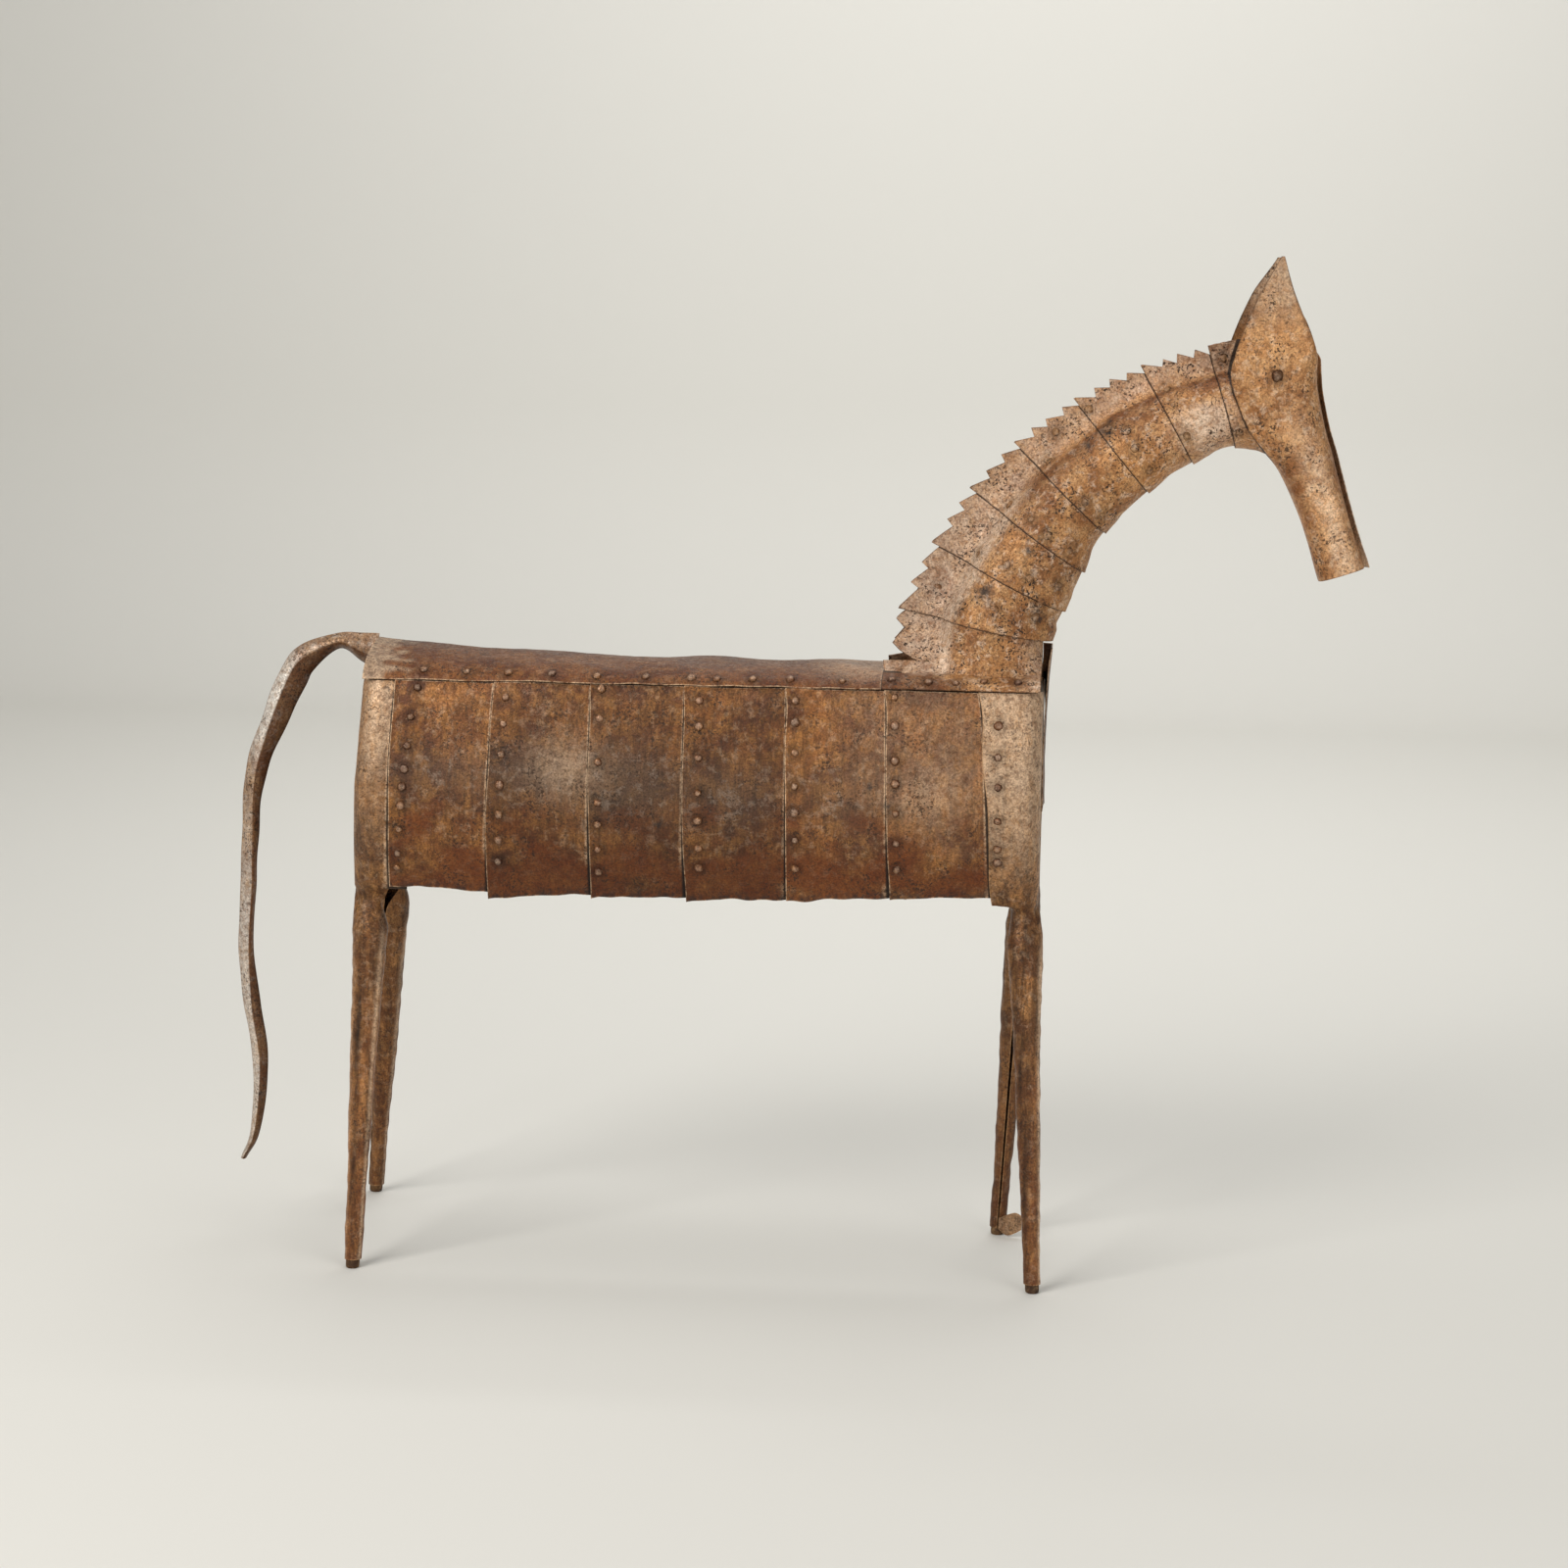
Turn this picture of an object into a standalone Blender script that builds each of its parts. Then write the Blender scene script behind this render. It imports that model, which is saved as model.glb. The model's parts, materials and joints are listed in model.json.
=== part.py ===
"""Standing horse of riveted sheet iron, for Blender 4.5 (metres, +Z up).

+X runs to the head, -Y is the near side and the feet stand on z = 0.
Every piece is a bent sheet: an open surface of profiles that Solidify gives its thickness.
Lapped sheets follow one master surface, each lifted by a sheet and a gap over the one below.
"""
import math

import bmesh
import bpy
import numpy as np
from mathutils import Matrix, Vector

# Sheet metal
SHEET = 0.0012
GAP = 0.0003
LAP = 0.022
LAP_RAMP = 0.018
LAP_STEP = SHEET + GAP

# Body
BODY_LENGTH = 0.852
HEM_HEIGHT = 0.475
SIDE_HEIGHT = 0.263
ROOF_RISE = 0.0205
RUMP_RISE = 0.0215
RUMP_RISE_LENGTH = 0.45
SPINE_STOPS = (0.2, 0.4, 0.7, 1.0)
BODY_HALF_WIDTH = 0.122
# The rear end leans: how far it stands ahead of the body's start at the hem and at the roof seam
REAR_LEAN = (-0.0065, 0.009)
CORNER_RADIUS = 0.028
CORNER_WRAP = 0.045
CORNER_STEPS = 4

# Half section of the body, from the hem up: shares of the half width and of the side height
SIDE_PROFILE = ((0.75, 0.0), (0.92, 0.21), (1.0, 0.47), (0.97, 0.70), (0.885, 0.90), (0.80, 1.0))
# The same section over the roof: shares of the half width and of the roof's rise
ROOF_PROFILE = ((0.68, 0.52), (0.42, 0.85), (0.0, 1.0))
SEAM_ROW = len(SIDE_PROFILE) - 1
TUCK_ROWS = (SEAM_ROW, SEAM_ROW + 0.5, SEAM_ROW + 1)
RIDGE_ROW = SEAM_ROW + len(ROOF_PROFILE)
# Upper edge of the rump sheet: share of its half width, row of the section it reaches
RUMP_EDGE = ((-1.0, SEAM_ROW - 0.5), (-0.5, RIDGE_ROW - 1), (0.5, RIDGE_ROW - 1), (1.0, SEAM_ROW - 0.5))
# Chest shield: height over the roof seam, forward lean, half width
CHEST_STATIONS = ((-0.150, 0.0, 0.060), (-0.075, 0.0, 0.066), (0.0, 0.0025, 0.060), (0.036, 0.0085, 0.040))
CHEST_BULGE = 0.001

# Upright seams of the side: share of the body length at the hem and at the roof seam
SEAMS = (
    (0.0502, 0.0623), (0.1969, 0.208), (0.3496, 0.3496), (0.4883, 0.4863),
    (0.638, 0.634), (0.7867, 0.7766), (0.9354, 0.9113),
)
# How far each panel's hem hangs below the hem height, at its rear and front ends
PANEL_DROPS = (
    (-0.005, 0.0), (0.008, -0.002), (0.001, 0.001),
    (0.005, -0.002), (0.0, -0.005), (-0.005, -0.010),
)

# Legs: rolled tubes with an open seam on the inside
LEG_TOP_RADIUS = 0.0240
LEG_FOOT_RADIUS = 0.0105
LEG_SEAM_ANGLE = 40.0
LEG_BLEND_HEIGHT = 0.055
LEG_TOP_SPREAD = 0.072
# How far the tube's top swells past the body's end, behind and in front
HIND_SWELL = 0.0015
FRONT_SWELL = 0.0085
LEG_SIDES = 9
LEG_RINGS = (0.25, 0.42, 0.60, 0.80)
FLANK_STEPS = 2
FOOT_SHOW = 0.011
FOOT_DEPTH = 0.030
# Thickness of a leg down its length: share of the way down, share from foot radius to top radius
LEG_TAPER = ((0.0, 1.0), (0.20, 0.72), (0.36, 0.56), (0.60, 0.32), (0.80, 0.10), (1.0, 0.0))
# For each leg: how far the foot stands from the body's end plane, and from the middle plane
LEG_PLACES = {
    "near_hind": (0.0045, 0.152),
    "far_hind": (-0.042, 0.203),
    "near_front": (-0.0064, 0.152),
    "far_front": (0.043, 0.102),
}

# Neck: stations from the body to the head, as shares of the neck height from the withers
NECK_HEIGHT = 0.345
NECK_FOOT_LENGTH = 0.181
WITHERS_X = BODY_LENGTH - NECK_FOOT_LENGTH
WITHERS_RISE = 0.094
NECK_CREST = (
    (0.000, 0.000), (0.116, 0.240), (0.249, 0.438), (0.405, 0.604),
    (0.614, 0.763), (0.849, 0.883), (1.085, 0.955), (1.310, 1.003),
)
NECK_THROAT = (
    (0.548, -0.104), (0.594, 0.003), (0.658, 0.148), (0.733, 0.290),
    (0.884, 0.438), (1.041, 0.545), (1.191, 0.603), (1.330, 0.568),
)
NECK_HALF_WIDTHS = (0.180, 0.166, 0.154, 0.144, 0.136, 0.130, 0.126, 0.126)
# Half section of the neck: share of the way from crest to throat, share of the half width
NECK_PROFILE = (
    (0.0, 0.0), (0.15, 0.015), (0.29, 0.15), (0.36, 0.54), (0.46, 0.83),
    (0.60, 1.0), (0.74, 0.98), (0.87, 0.80), (0.96, 0.46), (1.0, 0.0),
)
CREST_GAP = 0.0008
THROAT_FLARE = 0.003
FLARE_AT_LAP = 0.3
TUCK_SHARE = 0.9
BAND_STEP = SHEET + 2 * GAP
TOOTH_DEPTH = 0.011
TOOTH_TIP_SHARE = 0.3
BAND_TEETH = (3, 3, 4, 4, 3, 3, 0)
BASE_TEETH = 3
BASE_REAR_LAP = 0.014
BASE_FRONT_GAP = 0.0005
BASE_ROOT_SHARE = 0.65

# Head: two bent sheets with an ear each, as shares of the head's length from the eye.
# Their half depth is that of the collar inside them, with its lift, its flare, a sheet and a gap.
HEAD_LENGTH = 0.391
EYE_AHEAD = 0.005
EYE_DROP = 0.051
EYE_RADIUS = 0.007
HEAD_DEPTH = NECK_HEIGHT * NECK_HALF_WIDTHS[-1] + BAND_STEP + THROAT_FLARE / 2 + SHEET + GAP
# Height, rear edge, front edge, share of the half depth, roll of the rear and of the front edge
HEAD_ROWS = (
    (0.366, 0.003, 0.013, 0.79, 0.0, 0.0), (0.266, -0.051, 0.043, 0.84, 0.0, 0.0),
    (0.182, -0.090, 0.077, 0.88, 0.0, 0.0), (0.115, -0.115, 0.105, 0.93, 0.0, 0.1),
    (0.059, -0.132, 0.123, 1.0, 0.0, 0.5), (0.003, -0.143, 0.125, 1.0, 0.0, 0.9),
    (-0.056, -0.130, 0.132, 1.0, 0.0, 0.9), (-0.161, -0.084, 0.156, 1.0, 0.0, 0.9),
    (-0.243, -0.018, 0.182, 0.93, 0.3, 0.9), (-0.304, 0.028, 0.199, 0.86, 0.9, 0.9),
    (-0.432, 0.090, 0.237, 0.72, 0.97, 0.9), (-0.542, 0.130, 0.273, 0.63, 0.97, 0.9),
    (-0.620, 0.160, 0.294, 0.56, 0.97, 0.9),
)
MUZZLE_SLANT = 0.017
FACE_SLIT = 0.006
# Bend of a head sheet from its rear edge to its front edge: share across, share of the depth
HEAD_BEND = (
    (0.0, 0.0), (0.03, 0.55), (0.20, 0.92), (0.50, 1.0), (0.80, 0.92), (0.97, 0.55), (1.0, 0.0),
)

# Tail: a strip folded lengthwise, as outer and inner edge points behind and above the hem
TAIL_OUTER = (
    (-0.001, 0.3110), (-0.012, 0.3110), (-0.042, 0.3100), (-0.090, 0.2940), (-0.117, 0.2620),
    (-0.150, 0.1780), (-0.166, 0.1170), (-0.172, -0.0100), (-0.176, -0.1000), (-0.170, -0.1750),
    (-0.158, -0.2570), (-0.163, -0.3420), (-0.176, -0.3800),
)
TAIL_INNER = (
    (-0.001, 0.2640), (-0.012, 0.2760), (-0.040, 0.2920), (-0.074, 0.2640), (-0.086, 0.2420),
    (-0.118, 0.1770), (-0.144, 0.1050), (-0.153, -0.0100), (-0.158, -0.1000), (-0.149, -0.1750),
    (-0.140, -0.2570), (-0.152, -0.3420), (-0.171, -0.3800),
)
TAIL_FOLD = 0.011

# Torn scrap of sheet at the far front foot: length and height
SCRAP_LENGTH = 0.030
SCRAP_HEIGHT = 0.030
SCRAP_LEAN = 0.002
# Outline along the scrap: share of the length, low and high edge as shares of the height, bow
SCRAP_OUTLINE = (
    (0.0, 0.30, 0.80, 0.0), (0.35, 0.05, 1.0, 0.002), (0.7, 0.15, 1.1, 0.003), (1.0, 0.35, 1.0, 0.006),
)


def curve(points, place):
    """Point on the smooth curve through points, place counting from 0 at the first one."""
    p = np.asarray(points, float)
    i = int(min(max(math.floor(place), 0), len(p) - 2))
    t = place - i
    before = p[i - 1] if i else 2 * p[0] - p[1]
    after = p[i + 2] if i + 2 < len(p) else 2 * p[-1] - p[-2]
    slope0 = (p[i + 1] - before) / 2
    slope1 = (after - p[i]) / 2
    t2, t3 = t * t, t * t * t
    return ((2 * t3 - 3 * t2 + 1) * p[i] + (t3 - 2 * t2 + t) * slope0
            + (3 * t2 - 2 * t3) * p[i + 1] + (t3 - t2) * slope1)


def share(points, where):
    """Value at where on the broken line through (place, value) points."""
    places, values = zip(*points)
    return float(np.interp(where, places, values))


def side_of(leg_or_piece):
    """-1 for a piece on the near side, +1 on the far side."""
    return -1 if leg_or_piece.startswith("near") else 1


def body_half(row):
    """Half width and height of the body's section at a row counted up from the hem."""
    side = [(w * BODY_HALF_WIDTH, HEM_HEIGHT + h * SIDE_HEIGHT) for w, h in SIDE_PROFILE]
    roof = [(w * BODY_HALF_WIDTH, HEM_HEIGHT + SIDE_HEIGHT + h * ROOF_RISE) for w, h in ROOF_PROFILE]
    return curve(side + roof, row)


def body_normal(row):
    """Outward direction of the body's half section at a row, as (out, up)."""
    step = 0.02
    out, up = body_half(min(row + step, RIDGE_ROW)) - body_half(row - step)
    size = math.hypot(out, up)
    return np.array((up, -out)) / size


def body_point(x, row, side, lift=0.0):
    """Point of the body's master surface, lifted off it along its normal."""
    width, z = body_half(row)
    out, up = body_normal(row) * lift
    roof_share = max(0.0, (row - SEAM_ROW) / (RIDGE_ROW - SEAM_ROW))
    rump = RUMP_RISE * roof_share * max(0.0, 1 - x / RUMP_RISE_LENGTH) ** 2
    if row >= RIDGE_ROW:
        return Vector((x, 0.0, z + rump + lift))
    return Vector((x, side * (width + out), z + rump + up))


def rear_end(z):
    """X of the leaning rear end at a height."""
    low, high = REAR_LEAN
    return low + (high - low) * (z - HEM_HEIGHT) / SIDE_HEIGHT


def seam_x(seam, row):
    """X of an upright seam at a row of the body's section."""
    hem, top = SEAMS[seam]
    return BODY_LENGTH * (hem + (top - hem) * min(row / SEAM_ROW, 1.0))


def neck_station(place):
    """Crest point, throat point and half width of the neck at a station, 0 at the body."""
    origin = np.array((WITHERS_X, HEM_HEIGHT + SIDE_HEIGHT + WITHERS_RISE))
    crest = origin + NECK_HEIGHT * curve(NECK_CREST, place)
    throat = origin + NECK_HEIGHT * curve(NECK_THROAT, place)
    width = NECK_HEIGHT * curve([(w, 0) for w in NECK_HALF_WIDTHS], place)[0]
    return crest, throat, width


def neck_point(place, across, side, lift=0.0):
    """Point of the neck's master surface: across runs from the crest to the throat."""
    crest, throat, width = neck_station(place)
    length = np.linalg.norm(throat - crest)
    step = 0.01
    low, high = max(across - step, 0.0), min(across + step, 1.0)
    thick = CREST_GAP + (width - CREST_GAP) * share(NECK_PROFILE, across)
    rise = width * (share(NECK_PROFILE, high) - share(NECK_PROFILE, low))
    run = length * (high - low)
    size = math.hypot(rise, run)
    along_out, side_out = -rise / size, run / size
    if across >= 1.0:
        thick, along_out, side_out = 0.0, 1.0, 0.0
    flat = crest + (throat - crest) / length * (across * length + lift * along_out)
    return Vector((flat[0], side * (thick + lift * side_out), flat[1]))


def tooth_places(start, end, count):
    """Places of the notches of a saw edge, and of the tip that stands between each two."""
    pitch = (end - start) / count
    notches = [start + pitch * i for i in range(count + 1)]
    tips = [notch + pitch * TOOTH_TIP_SHARE for notch in notches[:-1]]
    return notches, tips


def bridge(mesh, left, right):
    """Faces between two rows of (place, vertex), matched by their places up to the shorter end."""
    end = min(left[-1][0], right[-1][0]) + 1e-6
    left = [entry for entry in left if entry[0] <= end]
    right = [entry for entry in right if entry[0] <= end]
    i = j = 0
    while i < len(left) - 1 or j < len(right) - 1:
        next_left = left[i + 1][0] if i < len(left) - 1 else math.inf
        next_right = right[j + 1][0] if j < len(right) - 1 else math.inf
        if abs(next_left - next_right) < 1e-6:
            mesh.faces.new((left[i][1], left[i + 1][1], right[j + 1][1], right[j][1]))
            i, j = i + 1, j + 1
        elif next_left < next_right:
            mesh.faces.new((left[i][1], left[i + 1][1], right[j][1]))
            i += 1
        else:
            mesh.faces.new((left[i][1], right[j + 1][1], right[j][1]))
            j += 1


def finish(name, mesh, inside, slot):
    """Make the object, turn its faces away from the inside point and put it in the collection."""
    bmesh.ops.remove_doubles(mesh, verts=mesh.verts, dist=1e-6)
    mesh.normal_update()
    facing = sum(f.calc_area() * f.normal.dot(f.calc_center_median() - inside) for f in mesh.faces)
    if facing < 0:
        bmesh.ops.reverse_faces(mesh, faces=mesh.faces)
    data = bpy.data.meshes.new(name)
    mesh.to_mesh(data)
    mesh.free()
    piece = bpy.data.objects.new(name, data)
    data.materials.append(MATERIALS[slot])
    HORSE.objects.link(piece)
    piece.parent = STAND
    return piece


def sheet(name, rows, slot, inside=None, teeth=()):
    """Bent sheet through rows of (place, point), its inner face; teeth stand on the outer rows."""
    mesh = bmesh.new()
    made = [[(place, mesh.verts.new(point)) for place, point in row] for row in rows]
    for left, right in zip(made, made[1:]):
        bridge(mesh, left, right)
    for row, first, tip in teeth:
        low, high = made[row][first][1], made[row][first + 1][1]
        ends = (high, low) if row == 0 else (low, high)
        mesh.faces.new((*ends, mesh.verts.new(tip)))
    points = [Vector(point) for row in rows for _, point in row]
    middle = sum(points, Vector()) / len(points)
    piece = finish(name, mesh, inside or middle, slot)
    solid = piece.modifiers.new("Thickness", "SOLIDIFY")
    solid.thickness = SHEET
    solid.offset = 1.0
    return piece


def side_panel(side_name, number):
    """Side panel lapped over the sheet behind it and tucked under the next one and the roof."""
    side = side_of(side_name)
    drops = PANEL_DROPS[number - 1]
    first_rise = (SIDE_PROFILE[1][1] - SIDE_PROFILE[0][1]) * SIDE_HEIGHT
    rows = []
    for row in (*range(SEAM_ROW), *TUCK_ROWS):
        rear = seam_x(number - 1, row)
        front = seam_x(number, row)
        columns = (
            (rear, LAP_STEP), (rear + LAP, LAP_STEP), (rear + LAP + LAP_RAMP, 0.0),
            (front + LAP - GAP, 0.0),
        )
        line = []
        for column, (x, lift) in enumerate(columns):
            along = (x - rear) / (columns[-1][0] - rear)
            hem_row = -share(((0, drops[0]), (1, drops[1])), along) / first_rise
            line.append((column, body_point(x, row or hem_row, side, lift)))
        rows.append(line)
    inside = Vector((BODY_LENGTH * SEAMS[number][0], 0.0, HEM_HEIGHT + SIDE_HEIGHT / 2))
    return sheet(f"side_panel_{side_name}_{number}", rows, "body_iron", inside)


def spine_sheet():
    """Long sheet bent over the back, from seam to seam, with the rump end a little higher."""
    rises = (*TUCK_ROWS, *range(SEAM_ROW + 2, RIDGE_ROW + 1))
    path = [(row, -1) for row in rises] + [(row, 1) for row in rises[-2::-1]]
    front = WITHERS_X - BASE_REAR_LAP + LAP
    rear = REAR_LEAN[1] + 2 * SHEET
    stops = (rear, *[RUMP_RISE_LENGTH * part for part in SPINE_STOPS], front)
    rows = [[(x, body_point(x, row, side, 2 * LAP_STEP)) for x in stops] for row, side in path]
    inside = Vector((front / 2, 0.0, HEM_HEIGHT))
    return sheet("spine_sheet", rows, "body_iron", inside)


def leg_centre(leg, down):
    """Middle of a leg, down running from 0 at the hem to 1 at the floor, in body axes."""
    hind = leg.endswith("hind")
    foot_back, foot_out = LEG_PLACES[leg]
    top_back = LEG_TOP_RADIUS + (REAR_LEAN[0] - HIND_SWELL if hind else -FRONT_SWELL)
    back = top_back + (foot_back - top_back) * down
    out = LEG_TOP_SPREAD + (foot_out - LEG_TOP_SPREAD) * down
    x = back if hind else BODY_LENGTH - back
    return Vector((x, side_of(leg) * out, HEM_HEIGHT * (1 - down)))


def leg_radius(down):
    """Inner radius of a leg's tube at a share of the way down."""
    outer = LEG_FOOT_RADIUS + (LEG_TOP_RADIUS - LEG_FOOT_RADIUS) * share(LEG_TAPER, down)
    return outer - SHEET


def tube_ring(leg, down):
    """Open ring of a leg's tube; the open seam faces the middle of the body."""
    toward_middle = 1 if leg.endswith("hind") else -1
    centre = leg_centre(leg, down)
    ring = []
    for i in range(LEG_SIDES + 1):
        angle = math.radians((180 - LEG_SEAM_ANGLE / 2) * (1 - 2 * i / LEG_SIDES))
        spoke = Vector((toward_middle * math.sin(angle), side_of(leg) * math.cos(angle), 0.0))
        ring.append(centre + leg_radius(down) * spoke)
    return ring


def corner_ring(leg, row):
    """Bent corner of the body at a row: flank points, then the leg's points round the corner."""
    hind = leg.endswith("hind")
    side = side_of(leg)
    lift = 0.0 if hind else LAP_STEP
    width, _ = body_half(row)
    edge = seam_x(0, row) + LAP - GAP if hind else BODY_LENGTH - seam_x(6, row)
    end = rear_end(min(body_point(0, row, side).z, HEM_HEIGHT + SIDE_HEIGHT)) if hind else 0.0
    leg_edge = 2 * LEG_TOP_RADIUS - GAP + end
    flat = [(edge, width + lift), ((edge + leg_edge) / 2, width + lift), (leg_edge, width + lift)]
    centre = (end + CORNER_RADIUS, width - CORNER_RADIUS)
    radius = CORNER_RADIUS + lift
    for step in range(CORNER_STEPS + 1):
        turn = math.pi / 2 * step / CORNER_STEPS
        flat.append((centre[0] - radius * math.sin(turn), centre[1] + radius * math.cos(turn)))
    reach = LEG_SIDES + 1 + FLANK_STEPS - len(flat)
    for step in range(1, reach + 1):
        flat.append((end - lift, centre[1] + (CORNER_WRAP - centre[1]) * step / reach))
    ring = []
    for back, out in flat:
        x = back if hind else BODY_LENGTH - back
        ring.append(Vector((x, side * out, body_point(x, row, side, lift).z)))
    return ring


def leg_sheet(leg):
    """Leg and body corner in one sheet: bent round the corner above, rolled to a tube below."""
    rings = [corner_ring(leg, row) for row in (*reversed(TUCK_ROWS), *range(SEAM_ROW - 1, -1, -1))]
    hem = rings[-1][FLANK_STEPS:]
    blend_down = LEG_BLEND_HEIGHT / HEM_HEIGHT
    for down, blend in ((blend_down * 0.45, 0.6), (blend_down, 1.0)):
        drop = Vector((0.0, 0.0, -down * HEM_HEIGHT))
        rings.append([(c + drop).lerp(t, blend) for c, t in zip(hem, tube_ring(leg, down))])
    foot = 1 - FOOT_SHOW / HEM_HEIGHT
    for down in (*LEG_RINGS, foot):
        rings.append(tube_ring(leg, down))
    rows = []
    for column in range(LEG_SIDES + 1 + FLANK_STEPS):
        line = []
        for place, ring in enumerate(rings):
            index = column - (LEG_SIDES + 1 + FLANK_STEPS - len(ring))
            if index >= 0:
                line.append((place, ring[index]))
        rows.append(line)
    return sheet(f"leg_{leg}", rows, "leg_iron", leg_centre(leg, 0.0))


def foot_peg(leg):
    """Solid peg that closes the end of a leg's tube and stands on the floor."""
    radius = (LEG_FOOT_RADIUS - SHEET) * math.cos(math.pi / LEG_SIDES) - GAP
    mesh = bmesh.new()
    rings = []
    for height in (0.0, FOOT_SHOW + FOOT_DEPTH):
        centre = leg_centre(leg, 1 - height / HEM_HEIGHT)
        ring = []
        for i in range(LEG_SIDES):
            turn = 2 * math.pi * i / LEG_SIDES
            ring.append(mesh.verts.new(centre + radius * Vector((math.cos(turn), math.sin(turn), 0.0))))
        rings.append(ring)
    low, high = rings
    for i in range(LEG_SIDES):
        j = (i + 1) % LEG_SIDES
        mesh.faces.new((low[i], low[j], high[j], high[i]))
    mesh.faces.new(low[::-1])
    mesh.faces.new(high)
    return finish(f"foot_{leg}", mesh, leg_centre(leg, 1 - FOOT_SHOW / HEM_HEIGHT), "foot_iron")


def rump_sheet():
    """Flat sheet that closes the rear, inside the two hind corners."""
    reach = body_half(0)[0] - CORNER_RADIUS - GAP
    rows = []
    for out, top_row in RUMP_EDGE:
        heights = (HEM_HEIGHT + SHEET * 2, body_point(0, top_row, 1).z)
        line = [Vector((rear_end(z) + SHEET + 2 * GAP, out * reach, z)) for z in heights]
        rows.append(list(enumerate(line)))
    return sheet("rump_sheet", rows, "body_iron", Vector((1.0, 0.0, HEM_HEIGHT)))


def chest_sheet():
    """Shield over the front, leaning forward at the top where the throat begins."""
    front = BODY_LENGTH + LAP_STEP + SHEET + GAP
    seam = HEM_HEIGHT + SIDE_HEIGHT
    rows = []
    for out in (-1.0, -0.6, 0.0, 0.6, 1.0):
        line = []
        for rise, lean, half in CHEST_STATIONS:
            bulge = CHEST_BULGE * (1 - out * out)
            line.append((rise, Vector((front + lean + bulge, out * half, seam + rise))))
        rows.append(line)
    return sheet("chest_sheet", rows, "body_iron", Vector((0.0, 0.0, seam)))


def neck_band(number):
    """Band of the neck bent round the throat, its saw edges side by side at the crest."""
    lengths = []
    for station in (number, number + 1):
        a = neck_station(station)
        b = neck_station(min(station + 1, len(NECK_CREST) - 1))
        lengths.append(max((np.linalg.norm(b[0] - a[0]) + np.linalg.norm(b[1] - a[1])) / 2, LAP))
    lap = LAP / lengths[0]
    last = number == len(BAND_TEETH) - 1
    end = number + 1 if last else number + 1 + LAP / lengths[1] * TUCK_SHARE
    step = BAND_STEP if number else 2 * BAND_STEP
    stops = [
        (number, step, 1.0), (number + lap, step, FLARE_AT_LAP),
        (number + lap + LAP_RAMP / lengths[0], 0.0, 0.0), (number + 1, 0.0, 0.0),
    ]
    if not last:
        stops.append((end, 0.0, 0.0))

    def lift_at(place, across):
        lift = share([(s[0], s[1]) for s in stops], place)
        flare = share([(s[0], s[2]) for s in stops], place)
        return lift + THROAT_FLARE * flare * across ** 2

    count = BAND_TEETH[number]
    notches, tips = tooth_places(number, number + 1, count) if count else ([s[0] for s in stops], [])
    if count:
        notches = notches + [end]

    def edge_point(place, side, depth):
        crest, throat, _ = neck_station(place)
        across = depth / np.linalg.norm(throat - crest)
        return neck_point(place, across, side, lift_at(place, across))

    path = [(a, -1) for a, _ in NECK_PROFILE[1:]] + [(a, 1) for a, _ in NECK_PROFILE[-2:0:-1]]
    depth = TOOTH_DEPTH if count else 0.0
    rows = [[(place, edge_point(place, -1, depth)) for place in notches]]
    for across, side in path:
        rows.append([(s[0], neck_point(s[0], across, side, lift_at(s[0], across))) for s in stops])
    rows.append([(place, edge_point(place, 1, depth)) for place in notches])
    teeth = []
    for first, place in enumerate(tips):
        teeth.append((0, first, edge_point(place, -1, 0.0)))
        teeth.append((len(rows) - 1, first, edge_point(place, 1, 0.0)))
    return sheet(f"neck_band_{number + 1}", rows, "neck_iron", teeth=teeth)


def neck_base(side_name):
    """Half of the neck's foot: a skirt over the withers that rises into the first band."""
    side = side_of(side_name)
    rear = WITHERS_X - BASE_REAR_LAP
    front = BODY_LENGTH - BASE_FRONT_GAP
    lift = 3 * LAP_STEP
    seam = HEM_HEIGHT + SIDE_HEIGHT
    first = neck_station(0)
    second = neck_station(1)
    tuck = LAP / ((np.linalg.norm(second[0] - first[0]) + np.linalg.norm(second[1] - first[1])) / 2)
    reach_across = NECK_PROFILE[-2][0]

    def climb(across):
        x = rear + (front - rear) * across / reach_across
        skirt = [body_point(x, row, side, lift) for row in TUCK_ROWS]
        top = neck_point(0, across, side)
        out = abs(skirt[-1].y) + BASE_ROOT_SHARE * (abs(top.y) - abs(skirt[-1].y))
        reach = [body_half(row)[0] for row in (SEAM_ROW + 2, SEAM_ROW + 1)]
        root_row = float(np.interp(out, reach, (SEAM_ROW + 2, SEAM_ROW + 1.2)))
        root = body_point((x + top.x) / 2, root_row, side, lift)
        return [*skirt, root, top, neck_point(tuck * TUCK_SHARE, across, side)]

    edge = climb(0.0)
    inward = Vector((TOOTH_DEPTH, 0.0, 0.0))
    notches, tips = tooth_places(3, 4, BASE_TEETH)
    saw = [(i, point) for i, point in enumerate(edge[:4])]
    saw += [(place, edge[3].lerp(edge[4] + inward, place - 3)) for place in notches[1:]]
    saw.append((5, edge[5] + inward))
    teeth = []
    for i, place in enumerate(tips):
        teeth.append((0, 3 + i, edge[3].lerp(edge[4], place - 3) - inward * (4 - place)))
    rows = [saw]
    for across, _ in NECK_PROFILE[1:-1]:
        rows.append(list(enumerate(climb(across))))
    inside = Vector(((rear + front) / 2, 0.0, seam))
    return sheet(f"neck_base_{side_name}", rows, "neck_iron", inside, teeth)


def eye_place():
    """Side-view place of the eye, set off the neck's last crest point."""
    crest, _, _ = neck_station(len(NECK_CREST) - 1)
    return crest[0] + EYE_AHEAD, crest[1] - EYE_DROP


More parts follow.
